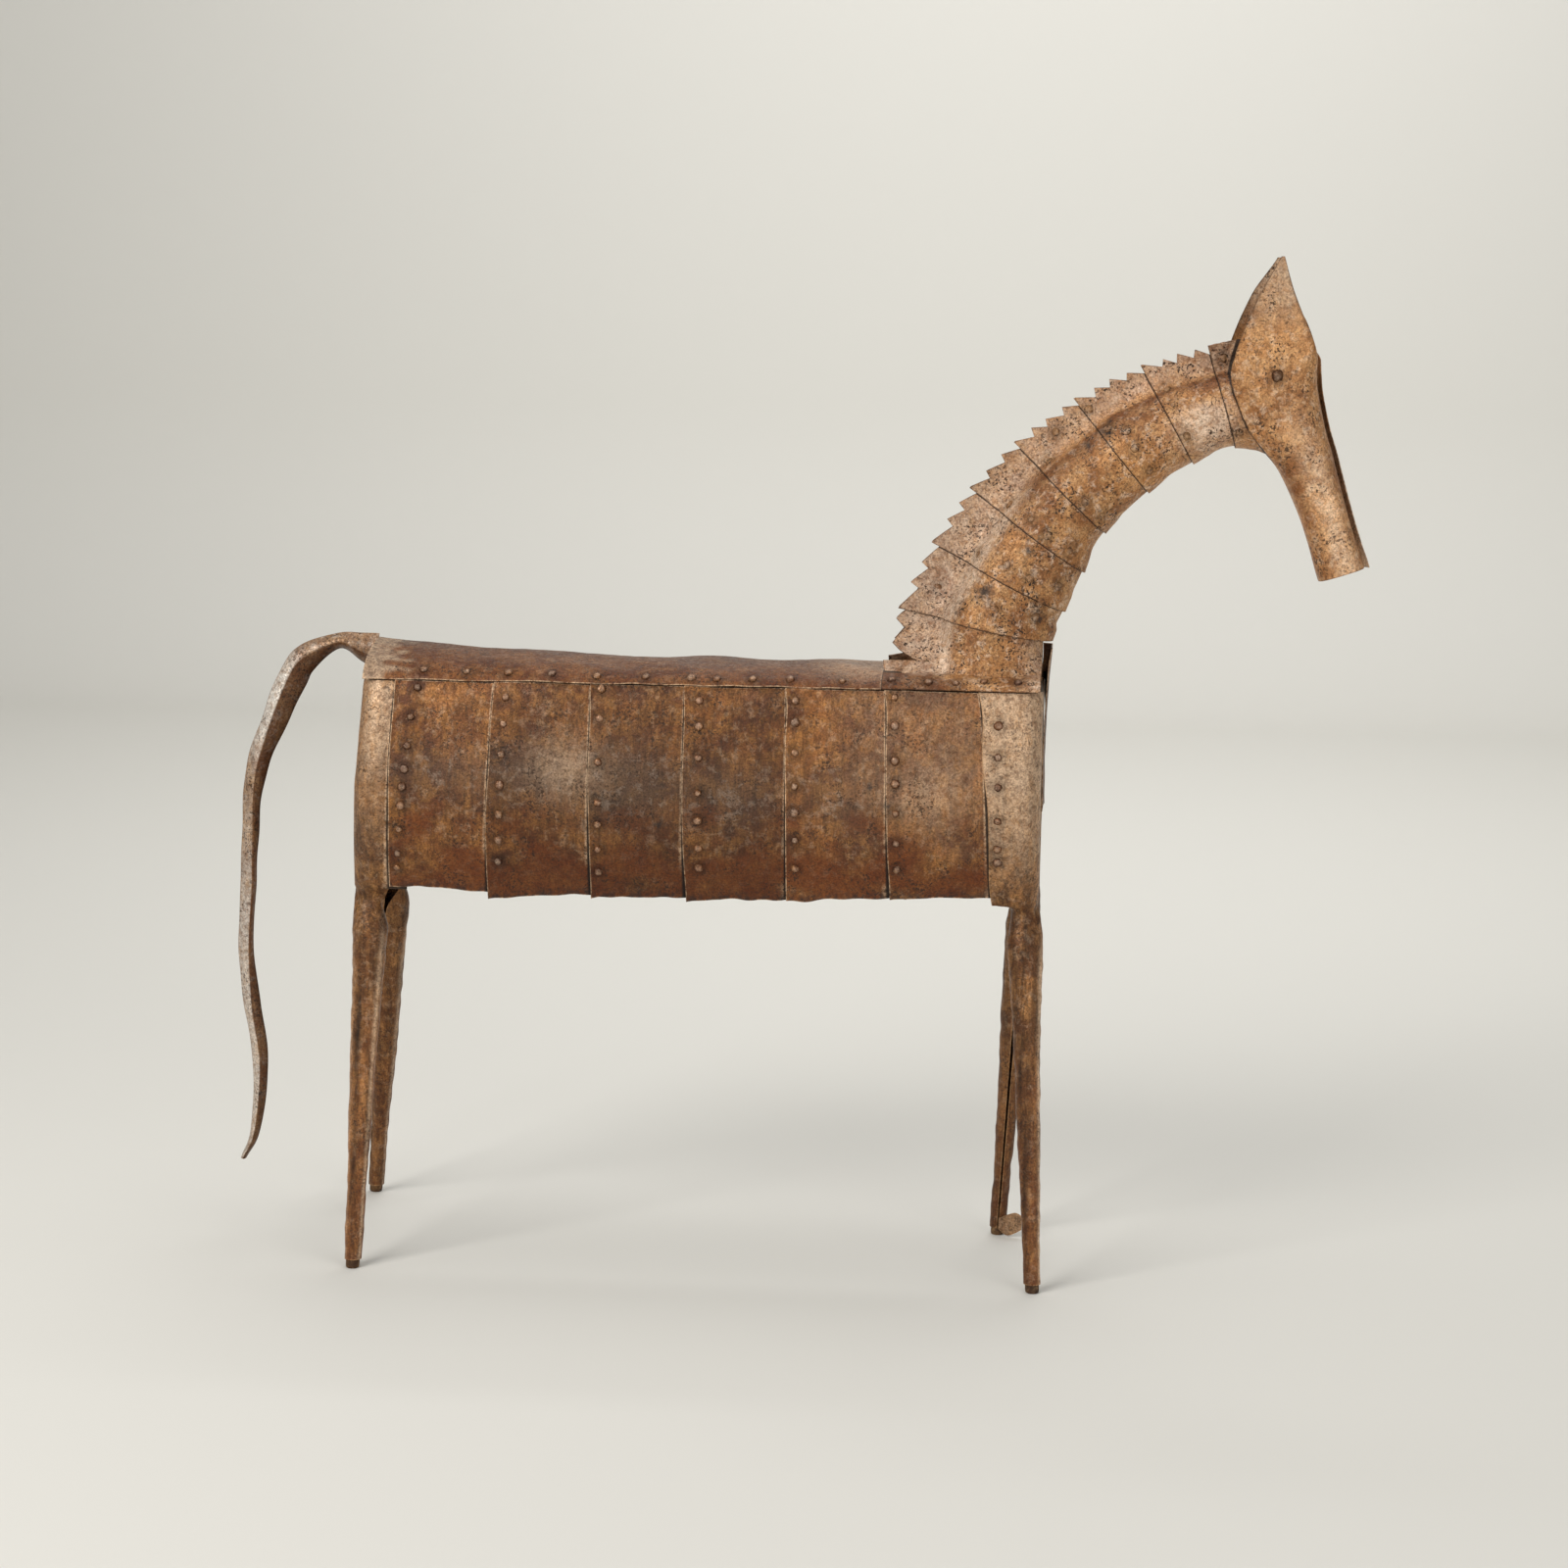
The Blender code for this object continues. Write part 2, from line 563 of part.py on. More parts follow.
def head_sheet(side_name):
    """Half of the head with its ear: flat over the ear and neck, rolled in along the face."""
    side = side_of(side_name)
    eye_x, eye_z = eye_place()
    far = side_name == "far"
    rows = []
    for across, bend in HEAD_BEND:
        line = []
        for height, back, ahead, depth, roll_rear, roll_front in HEAD_ROWS:
            face = FACE_SLIT if far and roll_front > 0.4 else 0.0
            x = eye_x + HEAD_LENGTH * (back + (ahead - back) * across) + face * across
            roll = roll_rear if across < 0.5 else roll_front
            out = HEAD_DEPTH * depth * (1 - roll * (1 - bend))
            slant = MUZZLE_SLANT * (across - 0.5) if height < -0.6 else 0.0
            z = eye_z + HEAD_LENGTH * height + slant
            line.append((-height, Vector((x, side * max(out, GAP), z))))
        rows.append(line)
    inside = Vector((eye_x, 0.0, eye_z - 0.1))
    return sheet(f"head_{side_name}", rows, "head_iron", inside)


def eye_rivet(side_name):
    """Domed rivet head at the eye, turned from a quarter circle."""
    side = side_of(side_name)
    eye_x, eye_z = eye_place()
    seat = HEAD_DEPTH + SHEET + GAP
    mesh = bmesh.new()
    bmesh.ops.create_uvsphere(mesh, u_segments=10, v_segments=6, radius=EYE_RADIUS)
    bmesh.ops.bisect_plane(mesh, geom=mesh.verts[:] + mesh.edges[:] + mesh.faces[:],
                           plane_co=(0, 0, 0), plane_no=(0, 0, -1), clear_outer=True)
    bmesh.ops.holes_fill(mesh, edges=[e for e in mesh.edges if e.is_boundary])
    turn = Matrix.Rotation(-side * math.pi / 2, 4, "X")
    bmesh.ops.transform(mesh, matrix=turn, verts=mesh.verts)
    place = Vector((eye_x, side * seat, eye_z))
    bmesh.ops.scale(mesh, vec=(1.0, 0.7, 1.0), verts=mesh.verts)
    inside = Vector((0.0, side * EYE_RADIUS * 0.2, 0.0))
    piece = finish(f"eye_rivet_{side_name}", mesh, inside, "rivet_iron")
    piece.location = place
    return piece


def tail_strip():
    """Tail: a strip folded lengthwise, its fold toward the near side, thin at the tip."""
    rows = [[], [], []]
    last = len(TAIL_OUTER) - 1
    for i, (outer, inner) in enumerate(zip(TAIL_OUTER, TAIL_INNER)):
        fold = TAIL_FOLD * (1 - i / last * 0.5)
        if i == 0:
            outer, inner = [(rear_end(HEM_HEIGHT + z) + x, z) for x, z in (outer, inner)]
        x0, z0 = outer[0], HEM_HEIGHT + outer[1]
        x1, z1 = inner[0], HEM_HEIGHT + inner[1]
        rows[0].append((i, Vector((x0, fold / 2, z0))))
        rows[1].append((i, Vector((x0 * 0.45 + x1 * 0.55, -fold / 2, z0 * 0.45 + z1 * 0.55))))
        rows[2].append((i, Vector((x1, fold / 2, z1))))
    return sheet("tail_strip", rows, "tail_iron", Vector((0.0, 1.0, HEM_HEIGHT)))


def foot_scrap():
    """Torn scrap of sheet that leans against the far front foot."""
    foot = leg_centre("far_front", 1.0)
    start = foot.x + LEG_FOOT_RADIUS / 5
    y = foot.y - LEG_FOOT_RADIUS - SHEET - GAP * 2
    rows = []
    for along, low, high, bow in SCRAP_OUTLINE:
        x = start + SCRAP_LENGTH * along
        bottom = Vector((x, y - bow, SCRAP_HEIGHT * low + SHEET))
        top = Vector((x, y - bow - SCRAP_LEAN, SCRAP_HEIGHT * high + SHEET))
        rows.append([(0, bottom), (1, top)])
    return sheet("foot_scrap", rows, "leg_iron", Vector((foot.x, 1.0, 0.0)))


def metal(name, colour, roughness):
    """Worn brown iron, as a plain Principled metal."""
    material = bpy.data.materials.new(name)
    material.use_nodes = True
    shader = material.node_tree.nodes["Principled BSDF"]
    shader.inputs["Base Color"].default_value = (*colour, 1.0)
    shader.inputs["Metallic"].default_value = 0.6
    shader.inputs["Roughness"].default_value = roughness
    return material


for old in list(bpy.data.objects):
    bpy.data.objects.remove(old)

HORSE = bpy.data.collections.new("sheet_iron_horse")
bpy.context.scene.collection.children.link(HORSE)
STAND = bpy.data.objects.new("stand", None)
HORSE.objects.link(STAND)

MATERIALS = {
    "body_iron": metal("body_iron", (0.17, 0.075, 0.030), 0.50),
    "leg_iron": metal("leg_iron", (0.24, 0.125, 0.055), 0.55),
    "neck_iron": metal("neck_iron", (0.30, 0.165, 0.080), 0.50),
    "head_iron": metal("head_iron", (0.32, 0.165, 0.070), 0.50),
    "tail_iron": metal("tail_iron", (0.26, 0.150, 0.080), 0.50),
    "foot_iron": metal("foot_iron", (0.16, 0.085, 0.040), 0.60),
    "rivet_iron": metal("rivet_iron", (0.15, 0.070, 0.035), 0.55),
}

spine_sheet()
rump_sheet()
chest_sheet()
for side_name in ("near", "far"):
    for number in range(1, len(SEAMS)):
        side_panel(side_name, number)
    neck_base(side_name)
    head_sheet(side_name)
    eye_rivet(side_name)
for leg in LEG_PLACES:
    leg_sheet(leg)
    foot_peg(leg)
for number in range(len(BAND_TEETH)):
    neck_band(number)
tail_strip()
foot_scrap()

# Centre the whole horse over the origin with its feet on z = 0
bpy.context.view_layer.update()
graph = bpy.context.evaluated_depsgraph_get()
corners = []
for piece in HORSE.objects:
    if piece.type == "MESH":
        solid = piece.evaluated_get(graph)
        corners += [solid.matrix_world @ vertex.co for vertex in solid.data.vertices]
low = [min(c[i] for c in corners) for i in range(3)]
high = [max(c[i] for c in corners) for i in range(3)]
STAND.location = (-(low[0] + high[0]) / 2, -(low[1] + high[1]) / 2, -low[2])
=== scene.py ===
"""Standing horse of riveted sheet iron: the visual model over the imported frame.

Lengths are metres. In body axes x runs from the rump to the chest, -y is the near side and z is
the height over the floor. Every sheet is a surface worked out on a grid, and Solidify gives it
its thickness outward. Lapped sheets follow one skin, each lifted over the sheet below it.
"""

import json
import math

import bpy
import numpy as np
from mathutils import Matrix, Vector


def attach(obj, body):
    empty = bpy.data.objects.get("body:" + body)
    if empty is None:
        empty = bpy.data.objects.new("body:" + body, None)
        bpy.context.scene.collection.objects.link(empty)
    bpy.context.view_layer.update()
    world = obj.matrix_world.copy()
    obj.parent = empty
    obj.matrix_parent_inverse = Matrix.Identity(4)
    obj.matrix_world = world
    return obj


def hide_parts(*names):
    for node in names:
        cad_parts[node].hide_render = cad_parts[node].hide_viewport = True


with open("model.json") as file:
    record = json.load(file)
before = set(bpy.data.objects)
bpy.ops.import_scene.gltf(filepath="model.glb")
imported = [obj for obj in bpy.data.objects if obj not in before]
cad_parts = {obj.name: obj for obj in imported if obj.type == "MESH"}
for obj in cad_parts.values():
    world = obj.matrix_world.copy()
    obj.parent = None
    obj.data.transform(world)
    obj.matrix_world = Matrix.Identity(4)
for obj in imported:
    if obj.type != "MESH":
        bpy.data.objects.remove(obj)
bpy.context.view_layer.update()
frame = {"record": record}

# Sheet metal
SHEET = 0.0012
GAP = 0.0003
LAP = 0.022
LAP_RAMP = 0.018
LAP_STEP = SHEET + GAP
# How far to each side of a point the tangent of its section is taken, in rows
NORMAL_STEP = 0.02

# Body
BODY_LENGTH = 0.852
HEM_HEIGHT = 0.475
SIDE_HEIGHT = 0.263
ROOF_HEIGHT = HEM_HEIGHT + SIDE_HEIGHT
ROOF_RISE = 0.0205
RUMP_RISE = 0.0215
RUMP_RISE_LENGTH = 0.45
BODY_HALF_WIDTH = 0.122
# The rear end leans: how far it stands ahead of the body's start at the hem and at the roof seam
REAR_LEAN = (-0.0065, 0.009)
CORNER_RADIUS = 0.028
CORNER_WRAP = 0.045
# Half section of the body, from the hem up: shares of the half width and of the side height
SIDE_PROFILE = ((0.75, 0.0), (0.92, 0.21), (1.0, 0.47), (0.97, 0.70), (0.885, 0.90), (0.80, 1.0))
# The same section over the roof: shares of the half width and of the roof's rise
ROOF_PROFILE = ((0.68, 0.52), (0.42, 0.85), (0.0, 1.0))
SEAM_ROW = len(SIDE_PROFILE) - 1
RIDGE_ROW = SEAM_ROW + len(ROOF_PROFILE)
# Chest shield: height over the roof seam, forward lean, half width
CHEST_STATIONS = (
    (-0.150, 0.0, 0.060), (-0.075, 0.0, 0.066), (0.0, 0.0025, 0.060), (0.050, 0.0070, 0.038),
)
CHEST_BULGE = 0.001
# Upright seams of the side: share of the body length at the hem and at the roof seam
SEAMS = (
    (0.0502, 0.0623), (0.1969, 0.208), (0.3496, 0.3496), (0.4883, 0.4863),
    (0.638, 0.634), (0.7867, 0.7766), (0.9354, 0.9113),
)
# How far each panel's hem hangs below the hem height, at its rear and front ends
PANEL_DROPS = (
    (-0.005, 0.0), (0.008, -0.002), (0.001, 0.001),
    (0.005, -0.002), (0.0, -0.005), (-0.005, -0.010),
)
# Brightness of each panel, from the rump to the chest
PANEL_TONES = (1.15, 0.93, 0.87, 0.90, 1.19, 1.15)
# Rivets along each upright seam: distance ahead of the seam at the roof and at the hem, heights
SEAM_RIVETS = (
    (0.031, 0.008, (0.730, 0.695, 0.660, 0.631, 0.609, 0.585, 0.555, 0.523, 0.505)),
    (0.017, 0.014, (0.721, 0.689, 0.652, 0.614, 0.577, 0.544, 0.517)),
    (0.013, 0.011, (0.733, 0.698, 0.645, 0.595, 0.568, 0.536, 0.507)),
    (0.019, 0.019, (0.722, 0.691, 0.653, 0.610, 0.576, 0.541, 0.515)),
    (0.011, 0.012, (0.724, 0.699, 0.662, 0.621, 0.589, 0.554, 0.518)),
    (0.011, 0.011, (0.730, 0.697, 0.655, 0.627, 0.591, 0.553, 0.520)),
    (0.024, 0.007, (0.700, 0.662, 0.626, 0.584, 0.549, 0.532)),
)
SPINE_RIVETS = (0.087, 0.141, 0.193, 0.248, 0.304, 0.365, 0.422, 0.453, 0.498, 0.544, 0.608)
SPINE_RIVET_ROW = 5.6
BASE_RIVETS = ((0.669, 5.75), (0.714, 5.60), (0.748, 5.55), (0.782, 5.75), (0.824, 5.75))
RIVET_RADIUS = 0.0055
RIVET_HEIGHT = 0.0029

# Legs: rolled tubes with an open seam on the inside
LEG_TOP_RADIUS = 0.0240
LEG_FOOT_RADIUS = 0.0105
LEG_SEAM_ANGLE = 12.0
LEG_BLEND_HEIGHT = 0.055
LEG_TOP_SPREAD = 0.072
LEG_TAPER_POWER = 1.35
# How far the tube's top swells past the body's end, behind and in front
HIND_SWELL = 0.0015
FRONT_SWELL = 0.0085
# How far a leg's ring turns on its way down, in degrees: the far hind leg's seam faces the rear
LEG_TWISTS = {"near_hind": 0.0, "far_hind": 55.0, "near_front": 0.0, "far_front": 0.0}
FOOT_SHOW = 0.011
FOOT_DEPTH = 0.030
# The round of a leg counts from 0 at its flank edge to 9; the flank runs on to -2
ROUND_END = 9.0
FLANK_END = -2.0
# For each leg: how far the foot stands from the body's end plane, and from the middle plane
LEG_PLACES = {
    "near_hind": (0.0045, 0.152),
    "far_hind": (-0.042, 0.203),
    "near_front": (-0.0064, 0.152),
    "far_front": (0.043, 0.102),
}

# Neck: stations from the body to the head, as shares of the neck height from the withers
NECK_HEIGHT = 0.345
NECK_FOOT_LENGTH = 0.181
WITHERS_X = BODY_LENGTH - NECK_FOOT_LENGTH
WITHERS_RISE = 0.094
NECK_CREST = (
    (0.000, 0.000), (0.116, 0.240), (0.249, 0.438), (0.405, 0.604),
    (0.614, 0.763), (0.849, 0.883), (1.085, 0.955), (1.310, 1.003),
)
NECK_THROAT = (
    (0.548, -0.104), (0.594, 0.003), (0.658, 0.148), (0.733, 0.290),
    (0.884, 0.438), (1.041, 0.545), (1.191, 0.603), (1.330, 0.568),
)
NECK_HALF_WIDTHS = (0.180, 0.166, 0.154, 0.144, 0.136, 0.130, 0.126, 0.126)
# Half section of the neck: share of the way from crest to throat, share of the half width
NECK_PROFILE = (
    (0.0, 0.0), (0.15, 0.015), (0.29, 0.15), (0.36, 0.54), (0.46, 0.83),
    (0.60, 1.0), (0.74, 0.98), (0.87, 0.80), (0.96, 0.46), (1.0, 0.0),
)
THROAT_TURN = len(NECK_PROFILE) - 1
CREST_GAP = 0.0008
THROAT_FLARE = 0.0015
BAND_STEP = SHEET + 2 * GAP
TUCK_SHARE = 0.9
TOOTH_DEPTH = 0.011
# For each band: how many teeth, and where along a tooth its tip stands after the notch
BAND_TEETH = (3, 3, 3, 4, 4, 4, 0)
TOOTH_TIPS = (0.14, 0.14, 0.16, 0.20, 0.22, 0.22, 0.0)
# Crest edge of the neck's foot, by climb: how far it stands ahead of the crest line. The near half
# is torn open over the skirt.
BASE_EDGES = {
    "near": ((2.0, 0.0), (3.0, -0.007), (3.20, -0.010), (3.21, 0.030), (3.36, 0.0085), (3.46, -0.0015),
             (3.66, 0.0115), (3.80, -0.0005), (4.0, 0.012)),
    "far": ((2.0, 0.0), (3.0, -0.007), (3.14, -0.008), (3.20, 0.010), (3.36, 0.0085), (3.46, -0.0015),
            (3.66, 0.0115), (3.80, -0.0005), (4.0, 0.012)),
}
BASE_REAR_LAP = 0.014
BASE_FRONT_GAP = 0.0005
BASE_ROOT_SHARE = 0.65
COLLAR_WRINKLE = 0.0007
# Rivets of the neck in side view, seam by seam from the body up
NECK_RIVETS = (
    (0.720, 0.857), (0.751, 0.837), (0.792, 0.836), (0.843, 0.829), (0.847, 0.845),
    (0.772, 0.902), (0.806, 0.893), (0.834, 0.876), (0.868, 0.867),
    (0.809, 0.963), (0.835, 0.947), (0.855, 0.928), (0.882, 0.911),
    (0.862, 1.053), (0.855, 1.016), (0.899, 0.970), (0.919, 0.955),
    (0.903, 1.082), (0.927, 1.059), (0.949, 1.057), (0.959, 1.037), (0.976, 1.011),
    (0.996, 1.107), (1.006, 1.090), (1.021, 1.052), (1.062, 1.151), (1.086, 1.059),
)
NECK_RIVET_HEIGHT = 0.0010
# Black stains in side view: x, height over the floor and radius
STAINS = (
    (0.779, 0.857, 0.0100), (0.667, 0.602, 0.0050), (0.646, 0.622, 0.0040), (0.846, 0.826, 0.0040),
    (0.833, 0.910, 0.0050), (0.925, 1.055, 0.0045), (0.929, 1.068, 0.0030), (1.020, 1.050, 0.0030),
    (0.903, 1.038, 0.0035), (0.385, 0.569, 0.0050),
)

# Head: two bent sheets with an ear each, as shares of the head's length from the eye
HEAD_LENGTH = 0.391
EYE_AHEAD = 0.005
EYE_DROP = 0.051
EYE_RADIUS = 0.0082
EYE_HEIGHT = 0.0045
HEAD_FLARE = 0.0015
HEAD_DEPTH = NECK_HEIGHT * NECK_HALF_WIDTHS[-1] + BAND_STEP + HEAD_FLARE + SHEET + GAP
# Height, rear edge, front edge, share of the half depth, roll of the rear and of the front edge
HEAD_ROWS = (
    (0.366, 0.003, 0.013, 0.79, 0.0, 0.0), (0.266, -0.051, 0.043, 0.84, 0.0, 0.0),
    (0.182, -0.090, 0.077, 0.88, 0.0, 0.0), (0.115, -0.115, 0.105, 0.93, 0.0, 0.1),
    (0.059, -0.132, 0.123, 1.0, 0.0, 0.5), (0.003, -0.143, 0.125, 1.0, 0.0, 0.9),
    (-0.056, -0.130, 0.132, 1.0, 0.0, 0.9), (-0.161, -0.084, 0.156, 1.0, 0.0, 0.9),
    (-0.243, -0.018, 0.182, 0.93, 0.3, 0.9), (-0.304, 0.028, 0.199, 0.86, 0.9, 0.9),
    (-0.432, 0.090, 0.237, 0.72, 0.97, 0.9), (-0.542, 0.130, 0.273, 0.63, 0.97, 0.9),
    (-0.620, 0.160, 0.294, 0.56, 0.97, 0.9),
)
MUZZLE_SLANT = 0.017
# How far the far half's ear stands back, and its face ahead and across the middle at the muzzle
EAR_LAG = 0.006
FACE_SLIT = 0.007
FACE_CROSS = 0.007
# The bend across a head sheet is a rounded square of this power
HEAD_BEND_POWER = 3.0
MOST_ROLL = 0.97

# Tail: a strip folded lengthwise, as outer and inner edge points behind and above the hem
TAIL_OUTER = (
    (-0.001, 0.3110), (-0.012, 0.3110), (-0.042, 0.3100), (-0.090, 0.2940), (-0.117, 0.2620),
    (-0.150, 0.1780), (-0.166, 0.1170), (-0.172, -0.0100), (-0.176, -0.1000), (-0.170, -0.1750),
    (-0.158, -0.2570), (-0.163, -0.3420), (-0.176, -0.3800),
)
TAIL_INNER = (
    (-0.001, 0.2640), (-0.012, 0.2760), (-0.040, 0.2920), (-0.074, 0.2640), (-0.086, 0.2420),
    (-0.118, 0.1770), (-0.144, 0.1050), (-0.153, -0.0100), (-0.158, -0.1000), (-0.149, -0.1750),
    (-0.140, -0.2570), (-0.152, -0.3420), (-0.171, -0.3800),
)
TAIL_FOLD = 0.011
# Share of the strip's width on the outer side of the fold, from the root to the tip
FOLD_PLACES = (0.60, 0.60, 0.55, 0.42, 0.36, 0.42, 0.60, 0.80, 0.78, 0.50, 0.48, 0.50, 0.50)

# Torn scrap of sheet at the far front foot
SCRAP_LENGTH = 0.030
SCRAP_HEIGHT = 0.030
SCRAP_LEAN = 0.002
# Stations of its outline: share of the length, lower and upper edge as shares of the height, bow
SCRAP_OUTLINE = (
    (0.0, 0.30, 0.80, 0.0), (0.35, 0.05, 1.0, 0.002), (0.7, 0.15, 1.1, 0.003), (1.0, 0.35, 1.0, 0.006),
)

# Pegs of the feet: heights of their rings, shares of the radius there and number of sides
PEG_HEIGHTS = (0.0, 0.0012, 0.004, 0.009, FOOT_SHOW + FOOT_DEPTH)
PEG_SHARES = (0.78, 0.95, 1.0, 1.0, 0.90)
PEG_SIDES = 24

# Hammer marks of the sheets: length of a wave, its mean height and its seed
DENTS = ((0.150, 0.0008, 11), (0.065, 0.00035, 12), (0.028, 0.00013, 13))
DIMPLE_DEPTH = 0.0007
DIMPLE_RADIUS = 0.008
# Ring of dirt round each rivet: its radius, its width and how dark it is on each kind of sheet
DIRT_RING = 0.0080
DIRT_RING_WIDTH = 0.0032
BODY_RING_SHADE = 0.34
BASE_RING_SHADE = 0.26
NECK_RING_SHADE = 0.30
# Width of the painted shadow line beside a covering edge; for an upright seam at its top, and how
# much more at the hem
SEAM_LAP_SHADOW = (0.0010, 0.0030)
LEVEL_LAP_SHADOW = 0.0006
SPINE_LAP_SHADOW = 0.0012
BASE_LAP_SHADOW = 0.0013
BAND_LAP_SHADOW = 0.0014
HEAD_LAP_SHADOW = 0.0026
FAR_FROM_LAP_SHADOW = 20.0
# Lift of the free edges: how far in it reaches, and its height
EDGE_CURL = (0.009, 0.0011)
HEM_CURL = (0.014, 0.0016)
SPINE_CURL = (0.010, 0.0004)
BAND_CURL = (0.008, 0.0010)
# How far a panel's rear edge gapes at the hem, how far in and how far up
SEAM_GAPE = (0.0018, 0.007, 0.05)
# Uneven cuts of the edges: length and mean height of their waves
HEM_CUT = (0.035, 0.0006)
SEAM_CUT = (0.08, 0.0007)
# Rough lengths that turn a share of a panel, a row of the side or a row of the roof into metres
PANEL_RUN = 0.15
ROW_RUN = 0.05
LAST_ROW_RUN = 0.0285
ROOF_ROW_RUN = 0.016
# The neck's fin bends to and fro, and the legs are beaten: length, mean height and seed of the waves
FIN_BEND = (0.05, 0.0012, 21)
LEG_BEATING = (0.022, 0.0003, 83)
LEG_DENT_SHARE = 0.55
# Grey hazes with painted sheen half way up, and pale spots of the flank: x, share of the side's
# height, reach along and up, strength
HAZE_AND_SHEEN_SPOTS = (
    (0.345, 0.53, 0.070, 0.18, 1.0), (0.480, 0.50, 0.055, 0.16, 0.85),
    (0.180, 0.58, 0.180, 0.13, 0.75), (0.620, 0.50, 0.060, 0.15, 0.60),
)
PALE_SPOTS = ((0.270, 0.62, 0.045, 0.13, 0.55), (0.725, 0.52, 0.040, 0.14, 0.35))

# Points of each sheet's grid: rows and columns
PANEL_GRID = (64, 96)
SPINE_GRID = (190, 46)
RUMP_GRID = (34, 60)
CHEST_GRID = (60, 44)
BAND_GRID = (48, 111)
BASE_GRID = (77, 84)
HEAD_GRID = (160, 76)
TAIL_GRID = (280, 29)
SCRAP_GRID = (34, 24)
# Points of a leg's flank, its round, its rows above the hem and below it; of a base's tucked part
FLANK_POINTS = 14
ROUND_POINTS = 60
CORNER_ROWS = 84
TUBE_ROWS = 120
TUCK_ROWS = 10

# The body axes stand in the frame where the record puts the near hind foot
near_hind = next(m for m in frame["record"]["mounts"] if m["name"] == "foot_near_hind")["pos_m"]
foot_back, foot_out = LEG_PLACES["near_hind"]
SHIFT = np.array((near_hind[0] - foot_back, near_hind[1] + foot_out, 0.0))


def curve(points, place):
    """Smooth curve through points (Catmull-Rom); place counts from 0 at the first one."""
    p = np.asarray(points, float)
    padded = np.vstack((2 * p[0] - p[1], p, 2 * p[-1] - p[-2]))
    place = np.asarray(place, float)
    first = np.clip(np.floor(place).astype(int), 0, len(p) - 2)
    t = (place - first)[..., None]
    before, start, end, after = (padded[first + k] for k in range(4))
    slope0 = (end - before) / 2
    slope1 = (after - start) / 2
    t2 = t * t
    t3 = t2 * t
    return ((2 * t3 - 3 * t2 + 1) * start + (t3 - 2 * t2 + t) * slope0
            + (3 * t2 - 2 * t3) * end + (t3 - t2) * slope1)


def step(low, high, value):
    """Smooth step of value: 0 at low, 1 at high, flat beyond them."""
    t = np.clip((np.asarray(value, float) - low) / (high - low), 0.0, 1.0)
    return t * t * (3.0 - 2.0 * t)


def bell(distance, width):
    """Bell curve of a distance: 1 at none, fading over the width."""
    return np.exp(-(np.asarray(distance, float) / width) ** 2)


def waves(points, length, seed, count=9):
    """Sum of cosine waves of about one length, in seeded directions, with a mean height of 1."""
    chance = np.random.default_rng(seed)
    direction = chance.normal(size=(count, 3))
    direction /= np.linalg.norm(direction, axis=1)[:, None]
    pitch = 2 * np.pi / (length * chance.uniform(0.7, 1.4, count))
    phase = chance.uniform(0, 2 * np.pi, count)
    return np.cos(points @ (direction * pitch[:, None]).T + phase).sum(-1) / math.sqrt(count / 2)


def dents(points):
    """How far the hammered sheet stands off its true form: long, middle and short waves."""
    return sum(height * waves(points, length, seed) for length, height, seed in DENTS)


def rivet_distance(points, rivets):
    """Distance of each point from the nearest rivet."""
    near = np.full(points.shape[:-1], np.inf)
    for rivet in rivets:
        near = np.minimum(near, ((points - rivet) ** 2).sum(-1))
    return np.sqrt(near)


def stained(points):
    """Black stains of the near side: a ragged bell curve round each place in side view."""
    ragged = 1 + 0.35 * waves(points, 0.006, 35)
    black = np.zeros(points.shape[:-1])
    for x, z, radius in STAINS:
        away = np.hypot(points[..., 0] - x, points[..., 2] - z)
        black = np.maximum(black, bell(away, radius * np.clip(ragged, 0.3, 1.8)))
    return black * (points[..., 1] < 0)


def side_of(name):
    """-1 for a piece on the near side, +1 on the far side."""
    return -1 if name.startswith("near") else 1


# Whole section of the body from the near hem over the ridge to the far hem
half_section = [(w * BODY_HALF_WIDTH, HEM_HEIGHT + h * SIDE_HEIGHT) for w, h in SIDE_PROFILE]
half_section += [(w * BODY_HALF_WIDTH, ROOF_HEIGHT + h * ROOF_RISE) for w, h in ROOF_PROFILE]
BODY_SECTION = [(-w, z) for w, z in half_section] + [(w, z) for w, z in half_section[-2::-1]]


def body_skin(x, turn):
    """Point and outward normal of the body: its section is a smooth curve, carried along x.

    turn runs from -8 at the near hem through 0 at the ridge to 8 at the far hem. The normal is
    the section's tangent turned a quarter, and the roof rises by a square law toward the rump.
    """
    x, turn = np.broadcast_arrays(np.asarray(x, float), np.asarray(turn, float))
    around = curve(BODY_SECTION, turn + RIDGE_ROW)
    after = curve(BODY_SECTION, turn + RIDGE_ROW + NORMAL_STEP)
    tangent = after - curve(BODY_SECTION, turn + RIDGE_ROW - NORMAL_STEP)
    tangent /= np.linalg.norm(tangent, axis=-1)[..., None]
    roof = np.clip((RIDGE_ROW - np.abs(turn) - SEAM_ROW) / (RIDGE_ROW - SEAM_ROW), 0.0, 1.0)
    rump = RUMP_RISE * roof * np.clip(1 - x / RUMP_RISE_LENGTH, 0.0, 1.0) ** 2
    point = np.stack((x, around[..., 0], around[..., 1] + rump), -1)
    normal = np.stack((np.zeros_like(x), -tangent[..., 1], tangent[..., 0]), -1)
    return point, normal


def turn_at(height):
    """Near side turn of the body's section at a height of its side."""
    turns = np.linspace(-RIDGE_ROW, 0, 400)
    return np.interp(height, curve(BODY_SECTION, turns + RIDGE_ROW)[:, 1], turns)


def rear_end(z):
    """X of the leaning rear end at a height."""
    low, high = REAR_LEAN
    return low + (high - low) * (z - HEM_HEIGHT) / SIDE_HEIGHT


def seam_x(seam, row):
    """X of an upright seam at a row counted up from the hem."""
    hem, top = SEAMS[seam]
    return BODY_LENGTH * (hem + (top - hem) * np.minimum(row / SEAM_ROW, 1.0))


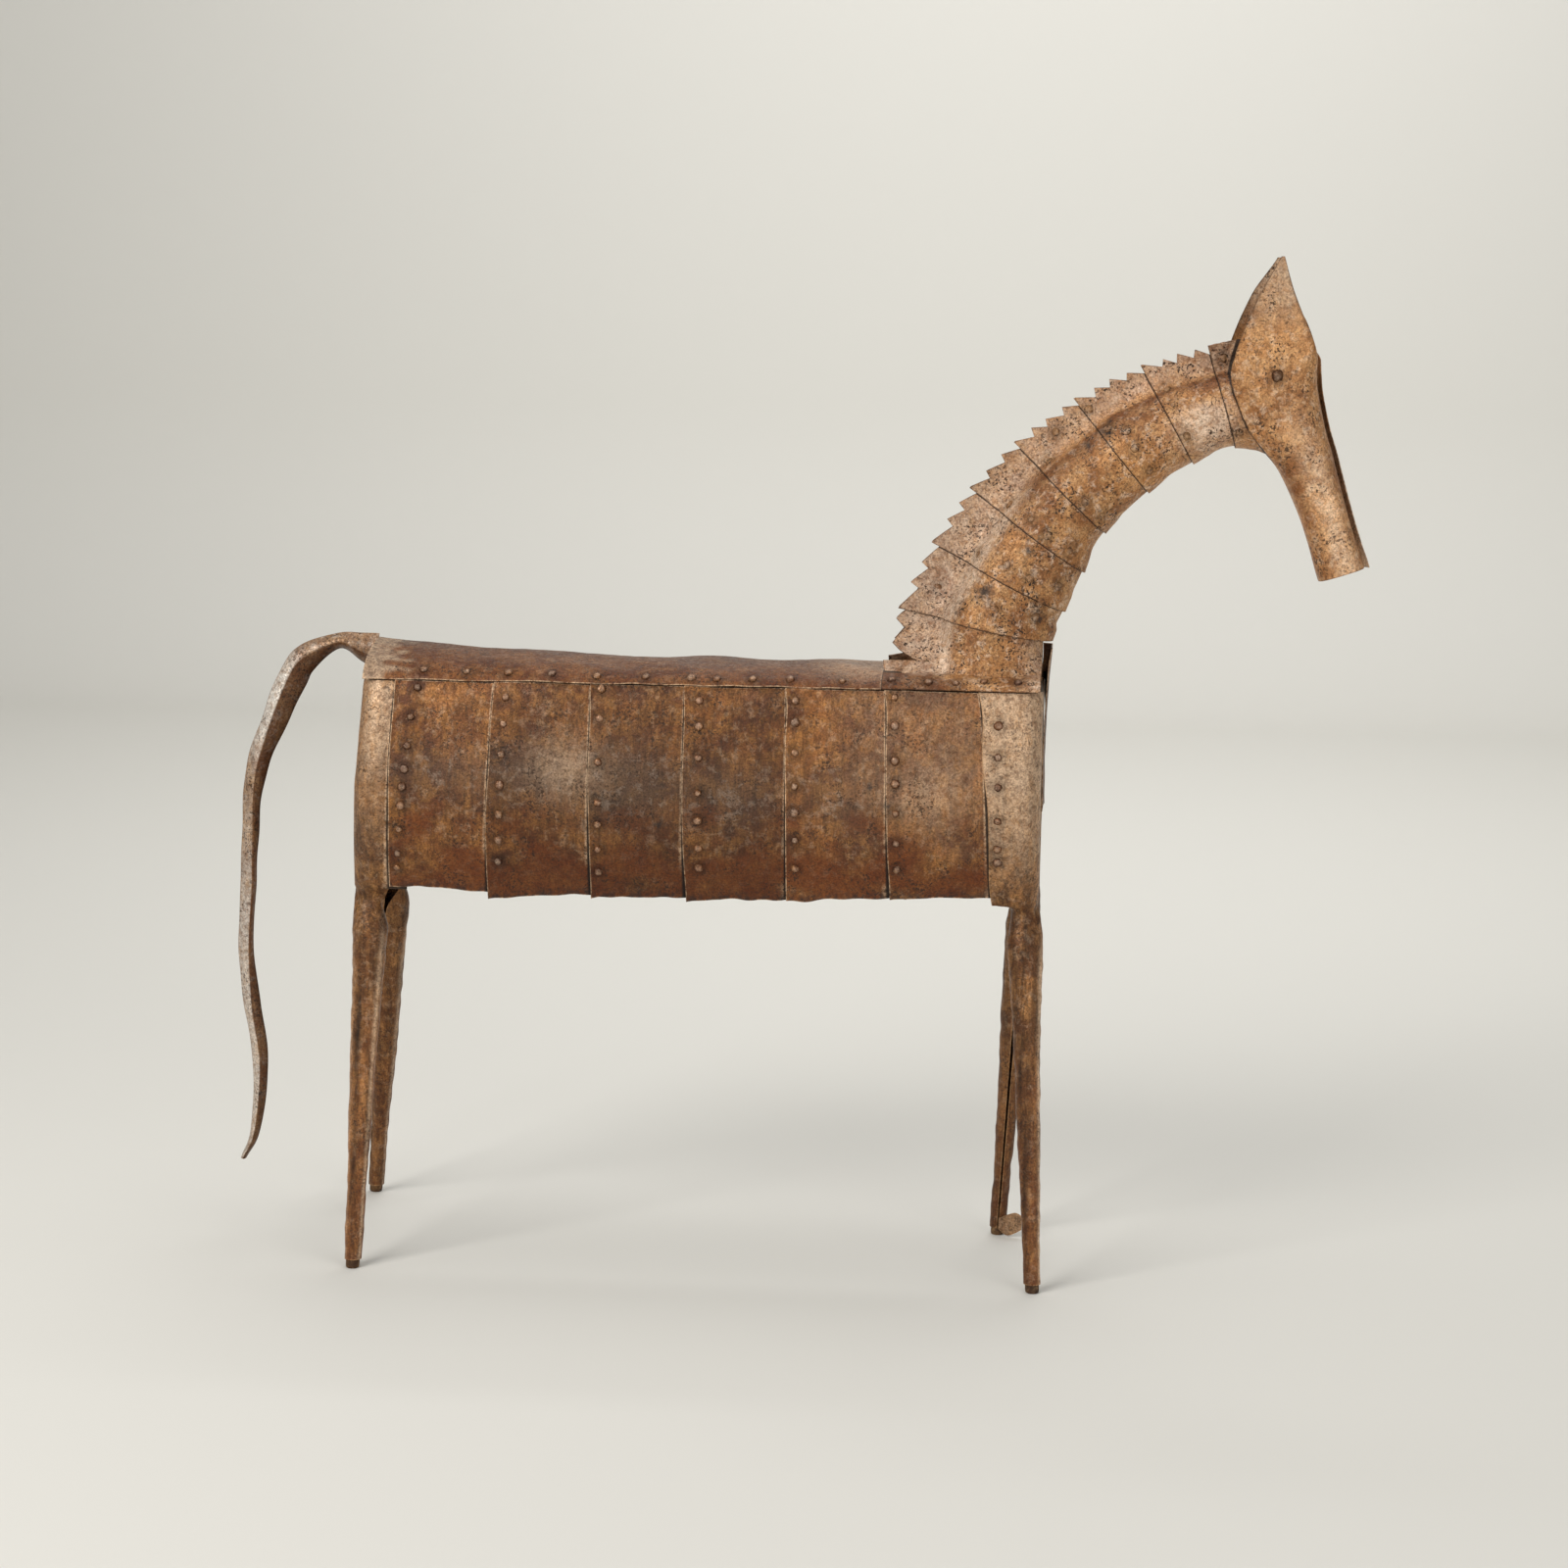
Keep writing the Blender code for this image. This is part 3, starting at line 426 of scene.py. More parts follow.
def body_rivet_places():
    """X, turn and lift of every rivet of the body; the far side repeats the near one, a little off."""
    chance = np.random.default_rng(5)
    places = []
    for seam, (ahead_top, ahead_hem, heights) in enumerate(SEAM_RIVETS):
        for height in heights:
            turn = turn_at(height)
            row = RIDGE_ROW + turn
            up = row / SEAM_ROW
            x = seam_x(seam, row) + ahead_hem + (ahead_top - ahead_hem) * up
            places.append((x, turn, LAP_STEP))
    for x in SPINE_RIVETS:
        places.append((x, SPINE_RIVET_ROW - RIDGE_ROW, 2 * LAP_STEP))
    for x, row in BASE_RIVETS:
        places.append((x, row - RIDGE_ROW, 3 * LAP_STEP))
    near = np.array(places)
    far = near * (1, -1, 1) + chance.normal(0, (0.002, 0.04, 0), near.shape)
    return np.vstack((near, far))


BODY_RIVETS = body_rivet_places()
BODY_RIVET_POINTS = body_skin(BODY_RIVETS[:, 0], BODY_RIVETS[:, 1])[0]


def body(x, turn, lift=0.0):
    """Body's skin moved out along its normal by lift and dents, and in by the rivets' dimples."""
    point, normal = body_skin(x, turn)
    hollow = DIMPLE_DEPTH * bell(rivet_distance(point, BODY_RIVET_POINTS), DIMPLE_RADIUS)
    return point + normal * (lift + dents(point) - hollow)[..., None]


# Whole section of the neck from the near crest round the throat to the far crest
NECK_SECTION = [(a, -w) for a, w in NECK_PROFILE] + [(a, w) for a, w in NECK_PROFILE[-2::-1]]
NECK_TURNS = np.linspace(0.0, THROAT_TURN, 400)
NECK_SHARES = curve(NECK_SECTION, NECK_TURNS)[:, 0]
WITHERS = np.array((WITHERS_X, ROOF_HEIGHT + WITHERS_RISE))


def neck_line(place):
    """Crest point, throat point and half width of the neck at a station."""
    crest = WITHERS + NECK_HEIGHT * curve(NECK_CREST, place)
    throat = WITHERS + NECK_HEIGHT * curve(NECK_THROAT, place)
    width = NECK_HEIGHT * curve([(w,) for w in NECK_HALF_WIDTHS], place)[..., 0]
    return crest, throat, width


def neck_skin(place, turn):
    """Point, outward normal and openness of the neck: a pear-shaped section carried up its line.

    turn runs from -9 at the near crest through 0 at the throat to 9 at the far crest. The
    openness is 0 in the flat fin of the crest and 1 over the round of the neck.
    """
    place, turn = np.broadcast_arrays(np.asarray(place, float), np.asarray(turn, float))
    crest, throat, width = neck_line(place)
    line = throat - crest
    length = np.linalg.norm(line, axis=-1)
    across, half = np.moveaxis(curve(NECK_SECTION, turn + THROAT_TURN), -1, 0)
    after = curve(NECK_SECTION, turn + THROAT_TURN + NORMAL_STEP)
    tangent = after - curve(NECK_SECTION, turn + THROAT_TURN - NORMAL_STEP)
    run = tangent[..., 0] * length
    rise = tangent[..., 1] * width
    size = np.hypot(run, rise)
    opened = step(0.22, 0.42, across)
    flat = crest + line * across[..., None]
    y = width * half + CREST_GAP * np.sign(turn) * (1 - opened)
    along = (rise / size / length)[..., None] * line
    point = np.stack((flat[..., 0], y, flat[..., 1]), -1)
    normal = np.stack((along[..., 0], -run / size, along[..., 1]), -1)
    return point, normal, opened


def neck_rivet_places():
    """Place, turn and lift of each neck rivet: the nearest spot of the near side in side view."""
    place, turn = np.meshgrid(np.linspace(0, 7, 281), np.linspace(-8, -0.4, 153), indexing="ij")
    point, _, _ = neck_skin(place, turn)
    found = []
    for x, z in NECK_RIVETS:
        spot = np.argmin((point[..., 0] - x) ** 2 + (point[..., 2] - z) ** 2)
        found.append((place.ravel()[spot], turn.ravel()[spot], BAND_STEP))
    near = np.array(found)
    return np.vstack((near, near * (1, -1, 1)))


NECK_RIVET_PLACES = neck_rivet_places()
NECK_RIVET_POINTS = neck_skin(NECK_RIVET_PLACES[:, 0], NECK_RIVET_PLACES[:, 1])[0]


def neck(place, turn, lift=0.0):
    """Neck's skin moved out by lift, dents and dimples; the fin bends to and fro as one."""
    point, normal, opened = neck_skin(place, turn)
    hollow = DIMPLE_DEPTH * bell(rivet_distance(point, NECK_RIVET_POINTS), DIMPLE_RADIUS)
    out = lift + (dents(point) - hollow) * opened
    moved = point + normal * out[..., None]
    length, height, seed = FIN_BEND
    moved[..., 1] += height * waves(point * (1, 0, 1), length, seed) * (1 - opened)
    return moved


def edge_distance(points):
    """Distance of each grid point from the nearest border of its grid, along the grid lines."""
    nearest = np.full(points.shape[:2], np.inf)
    for axis in (0, 1):
        pace = np.linalg.norm(np.diff(points, axis=axis), axis=-1)
        start = np.zeros_like(np.take(pace, [0], axis=axis))
        run = np.concatenate((start, np.cumsum(pace, axis=axis)), axis=axis)
        total = np.take(run, [-1], axis=axis)
        nearest = np.minimum(nearest, np.minimum(run, total - run))
    return nearest


# What a sheet's points carry for its finish, and the value of a plain spot: distance from the
# edge, brightness with painted light and shade, rubbed pale and painted highlights, grey haze
# with painted sheen, red rust, black stain, distance from the covering lap in widths of its
# painted shadow line
MARKS = {"edge": 0.01, "shade": 1.0, "pale": 0.0, "haze_and_sheen": 0.0, "rust": 0.0, "black": 0.0, "dirt": FAR_FROM_LAP_SHADOW}


def put_mesh(name, points, faces, metal, marks):
    """Smooth mesh object from points and faces, its marks as point attributes, riding on the body."""
    mesh = bpy.data.meshes.new(name)
    mesh.from_pydata((points + SHIFT).tolist(), [], faces)
    mesh.update()
    for mark, plain in MARKS.items():
        values = np.broadcast_to(marks.get(mark, plain), len(points)).astype(np.float32)
        attribute = mesh.attributes.new(mark, "FLOAT", "POINT")
        attribute.data.foreach_set("value", np.ascontiguousarray(values))
    mesh.polygons.foreach_set("use_smooth", np.ones(len(mesh.polygons), bool))
    edges = np.empty(len(mesh.loops), np.int32)
    mesh.loops.foreach_get("edge_index", edges)
    border = np.bincount(edges, minlength=len(mesh.edges)) == 1
    if border.any():
        mesh.attributes.new("sharp_edge", "BOOLEAN", "EDGE").data.foreach_set("value", border)
    mesh.materials.append(metal)
    piece = bpy.data.objects.new(name, mesh)
    bpy.context.scene.collection.objects.link(piece)
    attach(piece, "root")
    return piece


def sheet(node, points, metal, slot, inside, keep=None, **marks):
    """Bent sheet from a grid of points, its faces turned away from the inside point."""
    rows, columns = points.shape[:2]
    corner_of = np.arange(rows * columns).reshape(rows, columns)
    below, above = corner_of[:-1], corner_of[1:]
    quads = np.stack((below[:, :-1], above[:, :-1], above[:, 1:], below[:, 1:]), -1)
    quads = quads.reshape(-1, 4) if keep is None else quads[keep]
    flat = points.reshape(-1, 3)
    first, second = flat[quads[:, 2]] - flat[quads[:, 0]], flat[quads[:, 3]] - flat[quads[:, 1]]
    facing = (np.cross(first, second) * (flat[quads].mean(1) - inside)).sum()
    quads = quads if facing > 0 else quads[:, ::-1]
    used, quads = np.unique(quads, return_inverse=True)
    values = {"edge": edge_distance(points), "black": stained(points), **marks}
    picked = {}
    for mark, value in values.items():
        picked[mark] = np.broadcast_to(value, (rows, columns)).reshape(-1)[used]
    piece = put_mesh(f"{node}_visual", flat[used], quads.reshape(-1, 4).tolist(), metal, picked)
    wall = piece.modifiers.new("Thickness", "SOLIDIFY")
    wall.thickness = SHEET
    wall.offset = 1.0
    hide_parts(node)


def curl(distance, points, size=EDGE_CURL):
    """Lift of a free edge: a square law within reach of it, more in some stretches than others."""
    reach, height = size
    share = np.clip(1 - distance / reach, 0.0, 1.0) ** 2
    return height * share * np.clip(0.45 + 0.45 * waves(points, 0.09, 31), 0.0, 1.2)


def wobble(along, seed, length, height):
    """Uneven cut of an edge: waves of a length along it, with a mean height."""
    along = np.asarray(along, float)
    line = np.stack((along, np.zeros_like(along) + 0.37, np.zeros_like(along) + 0.11), -1)
    return height * waves(line, length, seed)


def ringed(points, rivets):
    """Darkness of the ring of dirt round each rivet."""
    return bell(rivet_distance(points, rivets) - DIRT_RING, DIRT_RING_WIDTH)


def spots(x, height, places):
    """Sum of soft oval spots: for each one a bell curve along x times one up the side."""
    return sum(strength * bell(x - at, along) * bell(height - up, rise)
               for at, up, along, rise, strength in places)


def body_marks(points):
    """Finish of the body sheets: red rust and painted shade low down, a grey haze with painted sheen half
    way up, paler at the chest.
    """
    height = (points[..., 2] - HEM_HEIGHT) / SIDE_HEIGHT
    x = points[..., 0]
    ragged = 0.06 * waves(points, 0.05, 33)
    # Painted shade: darker towards the hem, where the side curves under
    shade = 0.82 + 0.20 * step(0.10, 0.60, height + ragged)
    shade -= BODY_RING_SHADE * ringed(points, BODY_RIVET_POINTS)
    # Grey haze with painted sheen half way up the side
    haze_and_sheen = np.clip(spots(x, height, HAZE_AND_SHEEN_SPOTS), 0.0, 1.0)
    pale = spots(x, height, PALE_SPOTS)
    pale += 0.14 * step(0.66, 0.80, x / BODY_LENGTH) * step(0.2, 0.6, height + ragged)
    rust = step(0.38, 0.08, height + 2 * ragged)
    return {"shade": shade, "pale": pale, "haze_and_sheen": haze_and_sheen, "rust": rust}


def lap_dirt(behind_seam, row):
    """Distance from the covering edges in widths of their painted shadow line, wide near the hem."""
    up = np.clip(row / SEAM_ROW, 0.0, 1.0)
    top, more = SEAM_LAP_SHADOW
    upright = np.maximum(behind_seam, 0.0) / (top + more * (1 - up) ** 3)
    level = np.maximum(SEAM_ROW - row, 0.0) * LAST_ROW_RUN / LEVEL_LAP_SHADOW
    return np.minimum(upright, level)


def side_panel(side_name, number, metal):
    """Side panel: the body's skin between two seams, lapped over the sheet behind it.

    Its lift falls smoothly from one lap step to none past the lap, and both free edges curl.
    """
    side = side_of(side_name)
    drops = PANEL_DROPS[number - 1]
    along = np.linspace(0.0, 1.0, PANEL_GRID[0])[:, None]
    seed = 40 + number + 10 * (side > 0)
    hem_step = (SIDE_PROFILE[1][1] - SIDE_PROFILE[0][1]) * SIDE_HEIGHT
    drop = drops[0] + (drops[1] - drops[0]) * along
    hem = -(drop + wobble(along * PANEL_RUN, seed, *HEM_CUT)) / hem_step
    row = hem + (SEAM_ROW + 1 - hem) * np.linspace(0.0, 1.0, PANEL_GRID[1])[None, :]
    rear = seam_x(number - 1, row) + wobble(row * ROW_RUN, seed + 100, *SEAM_CUT)
    front = seam_x(number, row) + LAP - GAP
    x = rear + (front - rear) * along
    turn = side * (RIDGE_ROW - row)
    back = x - rear
    lift = LAP_STEP * step(LAP + LAP_RAMP, LAP, back)
    base, _ = body_skin(x, turn)
    low = base[..., 2] - HEM_HEIGHT
    gape, reach_in, reach_up = SEAM_GAPE
    lift = lift + curl(back, base) + gape * bell(back, reach_in) * step(reach_up, 0.0, low)
    lift = lift + curl(low, base, HEM_CURL)
    points = body(x, turn, lift)
    inside = np.array((BODY_LENGTH * SEAMS[number][0], 0.0, HEM_HEIGHT + SIDE_HEIGHT / 2))
    marks = body_marks(points)
    marks["shade"] = marks["shade"] * PANEL_TONES[number - 1]
    # Painted shadow beside the covering edges: the next panel's rear edge, wider towards the hem, and the
    # spine sheet's lower edge
    marks["dirt"] = lap_dirt(seam_x(number, row) - x, row)
    crust = 0.85 * bell((row - hem) * hem_step, 0.008) * step(-0.9, 0.7, waves(points, 0.008, 36))
    marks["black"] = np.maximum(stained(points), crust)
    sheet(f"side_panel_{side_name}_{number}", points, metal, "body_iron", inside, **marks)


def spine_sheet(metal):
    """Sheet bent over the back: the body's skin from seam to seam, two laps up."""
    front = WITHERS_X - BASE_REAR_LAP + LAP
    half = RIDGE_ROW - SEAM_ROW
    x = np.linspace(REAR_LEAN[1] + 2 * SHEET, front, SPINE_GRID[0])[:, None]
    turn = np.linspace(-1.0, 1.0, SPINE_GRID[1])[None, :] * half
    turn = turn + np.sign(turn) * step(0.9, 1.0, np.abs(turn) / half) * wobble(x, 61, 0.06, 0.015)
    base, _ = body_skin(x, turn)
    edge = (half - np.abs(turn)) * ROOF_ROW_RUN
    points = body(x, turn, 2 * LAP_STEP + curl(edge, base, SPINE_CURL))
    rear = step(0.060, 0.025, x + 0.010 * waves(points, 0.02, 34)) + 0 * turn
    ridge = step(0.35, 0.0, np.abs(turn) / half)
    # Painted shade: darker along the ridge, where the top turns away from the light
    shade = 0.96 - 0.22 * ridge - BODY_RING_SHADE * ringed(points, BODY_RIVET_POINTS)
    pale = 0.8 * rear + 0.55 * step(0.54, 0.62, x) * step(1.0, 0.3, np.abs(turn) / half)
    # Painted shadow line along the front, where the neck's foot covers the sheet
    dirt = np.maximum(front - LAP - x, 0.0) / SPINE_LAP_SHADOW + 0 * turn
    inside = np.array((front / 2, 0, HEM_HEIGHT))
    marks = {"shade": shade, "pale": pale, "dirt": dirt, "rust": 0.45 * (1 - rear), "haze_and_sheen": 0.8 * rear}
    sheet("spine_sheet", points, metal, "body_iron", inside, **marks)


def rump_sheet(metal):
    """Sheet that closes the leaning rear, pressed in a little between the hind corners."""
    reach = curve(half_section, 0.0)[0] - CORNER_RADIUS - GAP
    y = np.linspace(-reach, reach, RUMP_GRID[0])[:, None]
    corner_top = curve(half_section, SEAM_ROW - 0.5)[1]
    middle_share = (RIDGE_ROW - 1 - SEAM_ROW) / len(ROOF_PROFILE)
    middle_top = curve(half_section, RIDGE_ROW - 1.0)[1] + RUMP_RISE * middle_share
    top = np.interp(np.abs(y), (0.5 * reach, reach), (middle_top, corner_top))
    low = HEM_HEIGHT + SHEET * 2
    z = low + (top - low) * np.linspace(0.0, 1.0, RUMP_GRID[1])[None, :]
    flat = np.stack((rear_end(z), y + 0 * z, z), -1)
    press = 0.0015 * np.clip(0.6 + waves(flat, 0.12, 71), 0.0, 2.0) * (1 - (y / reach) ** 2)
    points = flat + (1, 0, 0) * (SHEET + 2 * GAP + press)[..., None]
    rust = step(0.6, 0.1, (z - low) / SIDE_HEIGHT)
    inside = np.array((1.0, 0, HEM_HEIGHT))
    sheet("rump_sheet", points, metal, "body_iron", inside, shade=0.8, rust=rust)


def chest_sheet(metal):
    """Shield over the front, bulged by a square law and leaning out where the throat begins.

    Its far edge doesn't lean: it is bent back to the body, and over the roof to the neck's foot.
    """
    place = np.linspace(0.0, len(CHEST_STATIONS) - 1, CHEST_GRID[0])[:, None]
    rise, lean, half = np.moveaxis(curve(CHEST_STATIONS, place), -1, 0)
    out = np.linspace(-1.0, 1.0, CHEST_GRID[1])[None, :]
    stand = LAP_STEP + SHEET + GAP + lean
    x = BODY_LENGTH + stand + CHEST_BULGE * (1 - out ** 2)
    over_roof = step(0.002, 0.010, rise)
    x = x - (lean + (stand - lean) * over_roof) * step(0.80, 1.0, out)
    flat = np.stack((x, out * half, ROOF_HEIGHT + rise + 0 * out), -1)
    points = flat + (1, 0, 0) * (0.0004 * (1 + waves(flat, 0.05, 73)))[..., None]
    inside = np.array((0.0, 0, ROOF_HEIGHT))
    # Painted shade: the whole shield is darkened, for the shaded gap behind the neck's foot
    sheet("chest_sheet", points, metal, "body_iron", inside, shade=0.75)


def leg_centre(leg, down):
    """Middle of a leg, on a straight line from the hem (0) to the floor (1)."""
    hind = leg.endswith("hind")
    foot_back, foot_out = LEG_PLACES[leg]
    top_back = LEG_TOP_RADIUS + (REAR_LEAN[0] - HIND_SWELL if hind else -FRONT_SWELL)
    back = top_back + (foot_back - top_back) * down
    out = LEG_TOP_SPREAD + (foot_out - LEG_TOP_SPREAD) * down
    x = back if hind else BODY_LENGTH - back
    return np.stack(np.broadcast_arrays(x, side_of(leg) * out, HEM_HEIGHT * (1 - down)), -1)


def corner(leg, row, around):
    """Point and normal of the body's corner: flat flank, quarter circle, then flat rump or chest.

    around runs from -2 at the flank's edge to 0 where the leg begins, turns the corner from 1
    to 5 and ends at 9 on the end face.
    """
    hind = leg.endswith("hind")
    side = side_of(leg)
    skin_turn = side * (RIDGE_ROW - row) + 0 * around
    skin, _ = body_skin(np.zeros_like(skin_turn), skin_turn)
    width = np.abs(skin[..., 1])
    turn = np.clip((around - 1) / 4, 0.0, 1.0) * np.pi / 2
    if hind:
        end = rear_end(np.minimum(skin[..., 2], ROOF_HEIGHT))
        edge = seam_x(0, row) + LAP - GAP
    else:
        end = np.zeros_like(width)
        edge = BODY_LENGTH - seam_x(6, row) - wobble(row * ROW_RUN, 87, *SEAM_CUT)
    leg_edge = 2 * LEG_TOP_RADIUS - GAP + end
    back = end + CORNER_RADIUS - CORNER_RADIUS * np.sin(turn)
    back = back + (leg_edge - end - CORNER_RADIUS) * np.clip(1 - around, 0.0, 1.0)
    back = back + (edge - leg_edge) * np.clip(around / FLANK_END, 0.0, 1.0)
    middle = width - CORNER_RADIUS
    out = middle + CORNER_RADIUS * np.cos(turn)
    out = out + (CORNER_WRAP - middle) * np.clip((around - 5) / 4, 0.0, 1.0)
    x = back if hind else BODY_LENGTH - back
    skin, normal = body_skin(x, skin_turn)
    flat = np.abs(normal[..., 1])
    forward = (-1 if hind else 1) * np.sin(turn)
    outward = np.stack((forward * flat, side * np.cos(turn) * flat, normal[..., 2]), -1)
    return np.stack((x, side * out, skin[..., 2]), -1), outward


def leg_sheet(leg, metal):
    """Leg and body corner in one sheet: bent round the corner above the hem, a tube below it.

    The tube's ring is an arc of 320 degrees round the leg's line, its radius falling by a power
    law to the foot; just below the hem the corner's ring turns into it.
    """
    hind = leg.endswith("hind")
    side = side_of(leg)
    flank = np.linspace(FLANK_END, 0.0, FLANK_POINTS)
    around = np.concatenate((flank, np.linspace(0.0, ROUND_END, ROUND_POINTS)[1:]))[None, :]
    row = np.linspace(SEAM_ROW + 1, 0.0, CORNER_ROWS)[:, None]
    base, outward = corner(leg, row, around)
    hollow = DIMPLE_DEPTH * bell(rivet_distance(base, BODY_RIVET_POINTS), DIMPLE_RADIUS)
    tame = 1 - 0.85 * step(3.5, 6.0, around)
    lift = 0.0 if hind else LAP_STEP + curl((around - FLANK_END) * 0.02, base)
    upper = base + outward * (lift + (dents(base) - hollow) * tame)[..., None]
    down = np.linspace(0.0, 1 - FOOT_SHOW / HEM_HEIGHT, TUBE_ROWS)[1:, None]
    middle = leg_centre(leg, down)
    angle = np.radians((180 - LEG_SEAM_ANGLE / 2) * (1 - 2 * np.clip(around, 0, None) / ROUND_END))
    angle = angle + np.radians(LEG_TWISTS[leg]) * step(0.0, 0.3, down)
    spoke = np.stack(((1 if hind else -1) * np.sin(angle), side * np.cos(angle), 0 * angle), -1)
    taper = (1 - down) ** LEG_TAPER_POWER
    radius = LEG_FOOT_RADIUS + (LEG_TOP_RADIUS - LEG_FOOT_RADIUS) * taper - SHEET
    true_tube = middle + radius[..., None] * spoke
    length, beat, seed = LEG_BEATING
    beaten = LEG_DENT_SHARE * dents(true_tube) + beat * waves(true_tube, length, seed)
    tube = true_tube + spoke * (beaten * step(1.0, 0.9, down))[..., None]
    reach = LEG_BLEND_HEIGHT * (1.0 if hind else 0.25 + 0.75 * step(0.3, 2.0, around))
    blend = 1 - (1 - np.clip(down * HEM_HEIGHT / reach, 0.0, 1.0)) ** 1.5
    drop = np.stack((0 * down, 0 * down, -down * HEM_HEIGHT), -1)
    lower = (upper[-1:] + drop) * (1 - blend[..., None]) + tube * blend[..., None]
    points = np.concatenate((upper, lower))
    keep = np.ones((points.shape[0] - 1, points.shape[1] - 1), bool)
    keep[len(upper) - 1:, around[0, 1:] <= 0] = False
    height = points[..., 2] / HEM_HEIGHT
    above = step(0.98, 1.08, height)
    tubed = step(0.95, 0.80, height)
    streaked = 0.13 * waves(points * (1, 1, 0.06), 0.016, 85) * (1 - above)
    shade = (0.96 + 0.10 * step(0.5, 1.2, height)) * (1 + streaked)
    # Painted shade: a dark band down the tube's turned-away side
    shade = shade - 0.34 * bell(around - (4.9 if hind else 3.7), 0.55) * tubed
    shade[: len(upper)] -= BODY_RING_SHADE * ringed(base, BODY_RIVET_POINTS)
    # Painted light: the far legs darkened as in shade, the near ones brightened, the hind one most
    if leg.startswith("far"):
        shade *= 0.85
    else:
        shade = shade * (1 + (0.30 if hind else 0.10) * tubed)
    worn_line = 3.0 if hind else 6.2
    pale = (0.75 * bell(around - worn_line, 0.30) + 0.35 * bell(around - 6.2, 0.5)) * tubed
    patch = step(0.98, 1.35, height)
    sheen = bell(around - 1.6, 1.5) * step(1.28, 1.42, height)
    pale = pale + (0.22 * patch + 0.65 * sheen if hind else 0.88 * patch)
    # Painted shadow beside the covering edges above the hem
    dirt = np.full(points.shape[:2], FAR_FROM_LAP_SHADOW)
    covered = seam_x(0, row) - base[..., 0] if hind else np.full(base.shape[:2], 1.0)
    dirt[: len(upper)] = lap_dirt(covered, row + 0 * around)
    marks = {"shade": shade, "pale": np.clip(pale, 0, 1), "dirt": dirt}
    marks["rust"] = 0.35 * step(0.9, 0.3, height)
    sheet(f"leg_{leg}", points, metal, "leg_iron", leg_centre(leg, 0.0), keep, **marks)


def closed_rings(rings):
    """Faces and points of a closed solid of rings, each end drawn together in one point."""
    count, around = rings.shape[:2]
    points = np.vstack((rings.reshape(-1, 3), rings[0].mean(0), rings[-1].mean(0)))
    corner_of = np.arange(count * around).reshape(count, around)
    after = np.roll(corner_of, -1, axis=1)
    quads = np.stack((corner_of[:-1], after[:-1], after[1:], corner_of[1:]), -1).reshape(-1, 4)
    first_pole = np.full(around, count * around)
    low = np.stack((first_pole, after[0], corner_of[0]), -1)
    high = np.stack((first_pole + 1, corner_of[-1], after[-1]), -1)
    return points, quads.tolist() + low.tolist() + high.tolist()


def foot_peg(leg, metal):
    """Peg in the end of a leg: rings up the leg's line, drawn in a little at the floor."""
    heights = np.array(PEG_HEIGHTS)
    shares = np.array(PEG_SHARES)
    turns = np.linspace(0, 2 * np.pi, PEG_SIDES + 1)[:-1]
    radius = LEG_FOOT_RADIUS - SHEET - 2 * GAP
    middle = leg_centre(leg, 1 - heights / HEM_HEIGHT)[:, None, :]
    spoke = np.stack((np.cos(turns), np.sin(turns), 0 * turns), -1)[None]
    rings = middle + radius * shares[:, None, None] * spoke
    points, faces = closed_rings(rings)
    piece = put_mesh(f"foot_{leg}_visual", points, faces, metal, {"shade": 0.8})
    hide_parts(f"foot_{leg}")


def saw_line(start, end, count, tip_share, seed):
    """Knots of a saw edge, cut unevenly by hand: it starts with a tip, then notch and tip by turns."""
    chance = np.random.default_rng(seed)
    pitch = (end - start) / count
    knots = [(start, -0.1 * TOOTH_DEPTH)]
    for i in range(1, count):
        notch = start + pitch * (i + chance.uniform(-0.10, 0.10))
        knots.append((notch, TOOTH_DEPTH * chance.uniform(0.9, 1.2)))
        knots.append((notch + pitch * tip_share, TOOTH_DEPTH * chance.uniform(-0.05, 0.20)))
    knots.append((end, TOOTH_DEPTH))
    return np.array(knots)


def band_lengths(number):
    """Mean lengths of a band and of the one above it, along the neck."""
    lengths = []
    for station in (number, number + 1):
        crest0, throat0, _ = neck_line(float(station))
        crest1, throat1, _ = neck_line(float(min(station + 1, len(NECK_CREST) - 1)))
        length = (np.linalg.norm(crest1 - crest0) + np.linalg.norm(throat1 - throat0)) / 2
        lengths.append(max(length, LAP))
    return lengths


def neck_finish(place, across):
    """Brightness, pale and rust of the neck: a painted highlight along the crease low down,
    painted shade in brown under the crease higher up, and a painted warm reflection near the throat.
    """
    crease_line = 0.34 - 0.05 * step(3.0, 5.0, place)
    fin = step(crease_line + 0.03, crease_line - 0.10, across)
    # Painted highlight along the crease of the lower bands
    crease_highlight = bell(across - crease_line, 0.040) * step(3.0, 1.6, place)
    pale = (0.55 - 0.20 * step(1.5, 3.0, place)) * fin + 1.2 * crease_highlight
    pale = pale + 1.0 * bell(place - 5.55, 0.50) * step(0.45, 0.65, across)
    below = across - crease_line
    # Painted shade below the crease of the upper bands, also browned through the rust mark
    under_crease_shade = step(0.0, 0.035, below) * np.exp(-np.maximum(below, 0.0) / 0.085) * step(1.4, 3.2, place)
    # Painted reflection: warmer and a little brighter near the throat
    throat_reflection = step(0.78, 0.95, across)
    shade = 1.0 - 0.45 * under_crease_shade - 0.05 * fin + 0.04 * throat_reflection + 0.16 * step(3.0, 4.5, place)
    return shade, np.clip(pale * (1 - 0.7 * throat_reflection), 0.0, 1.0), 0.35 * fin + 0.9 * under_crease_shade


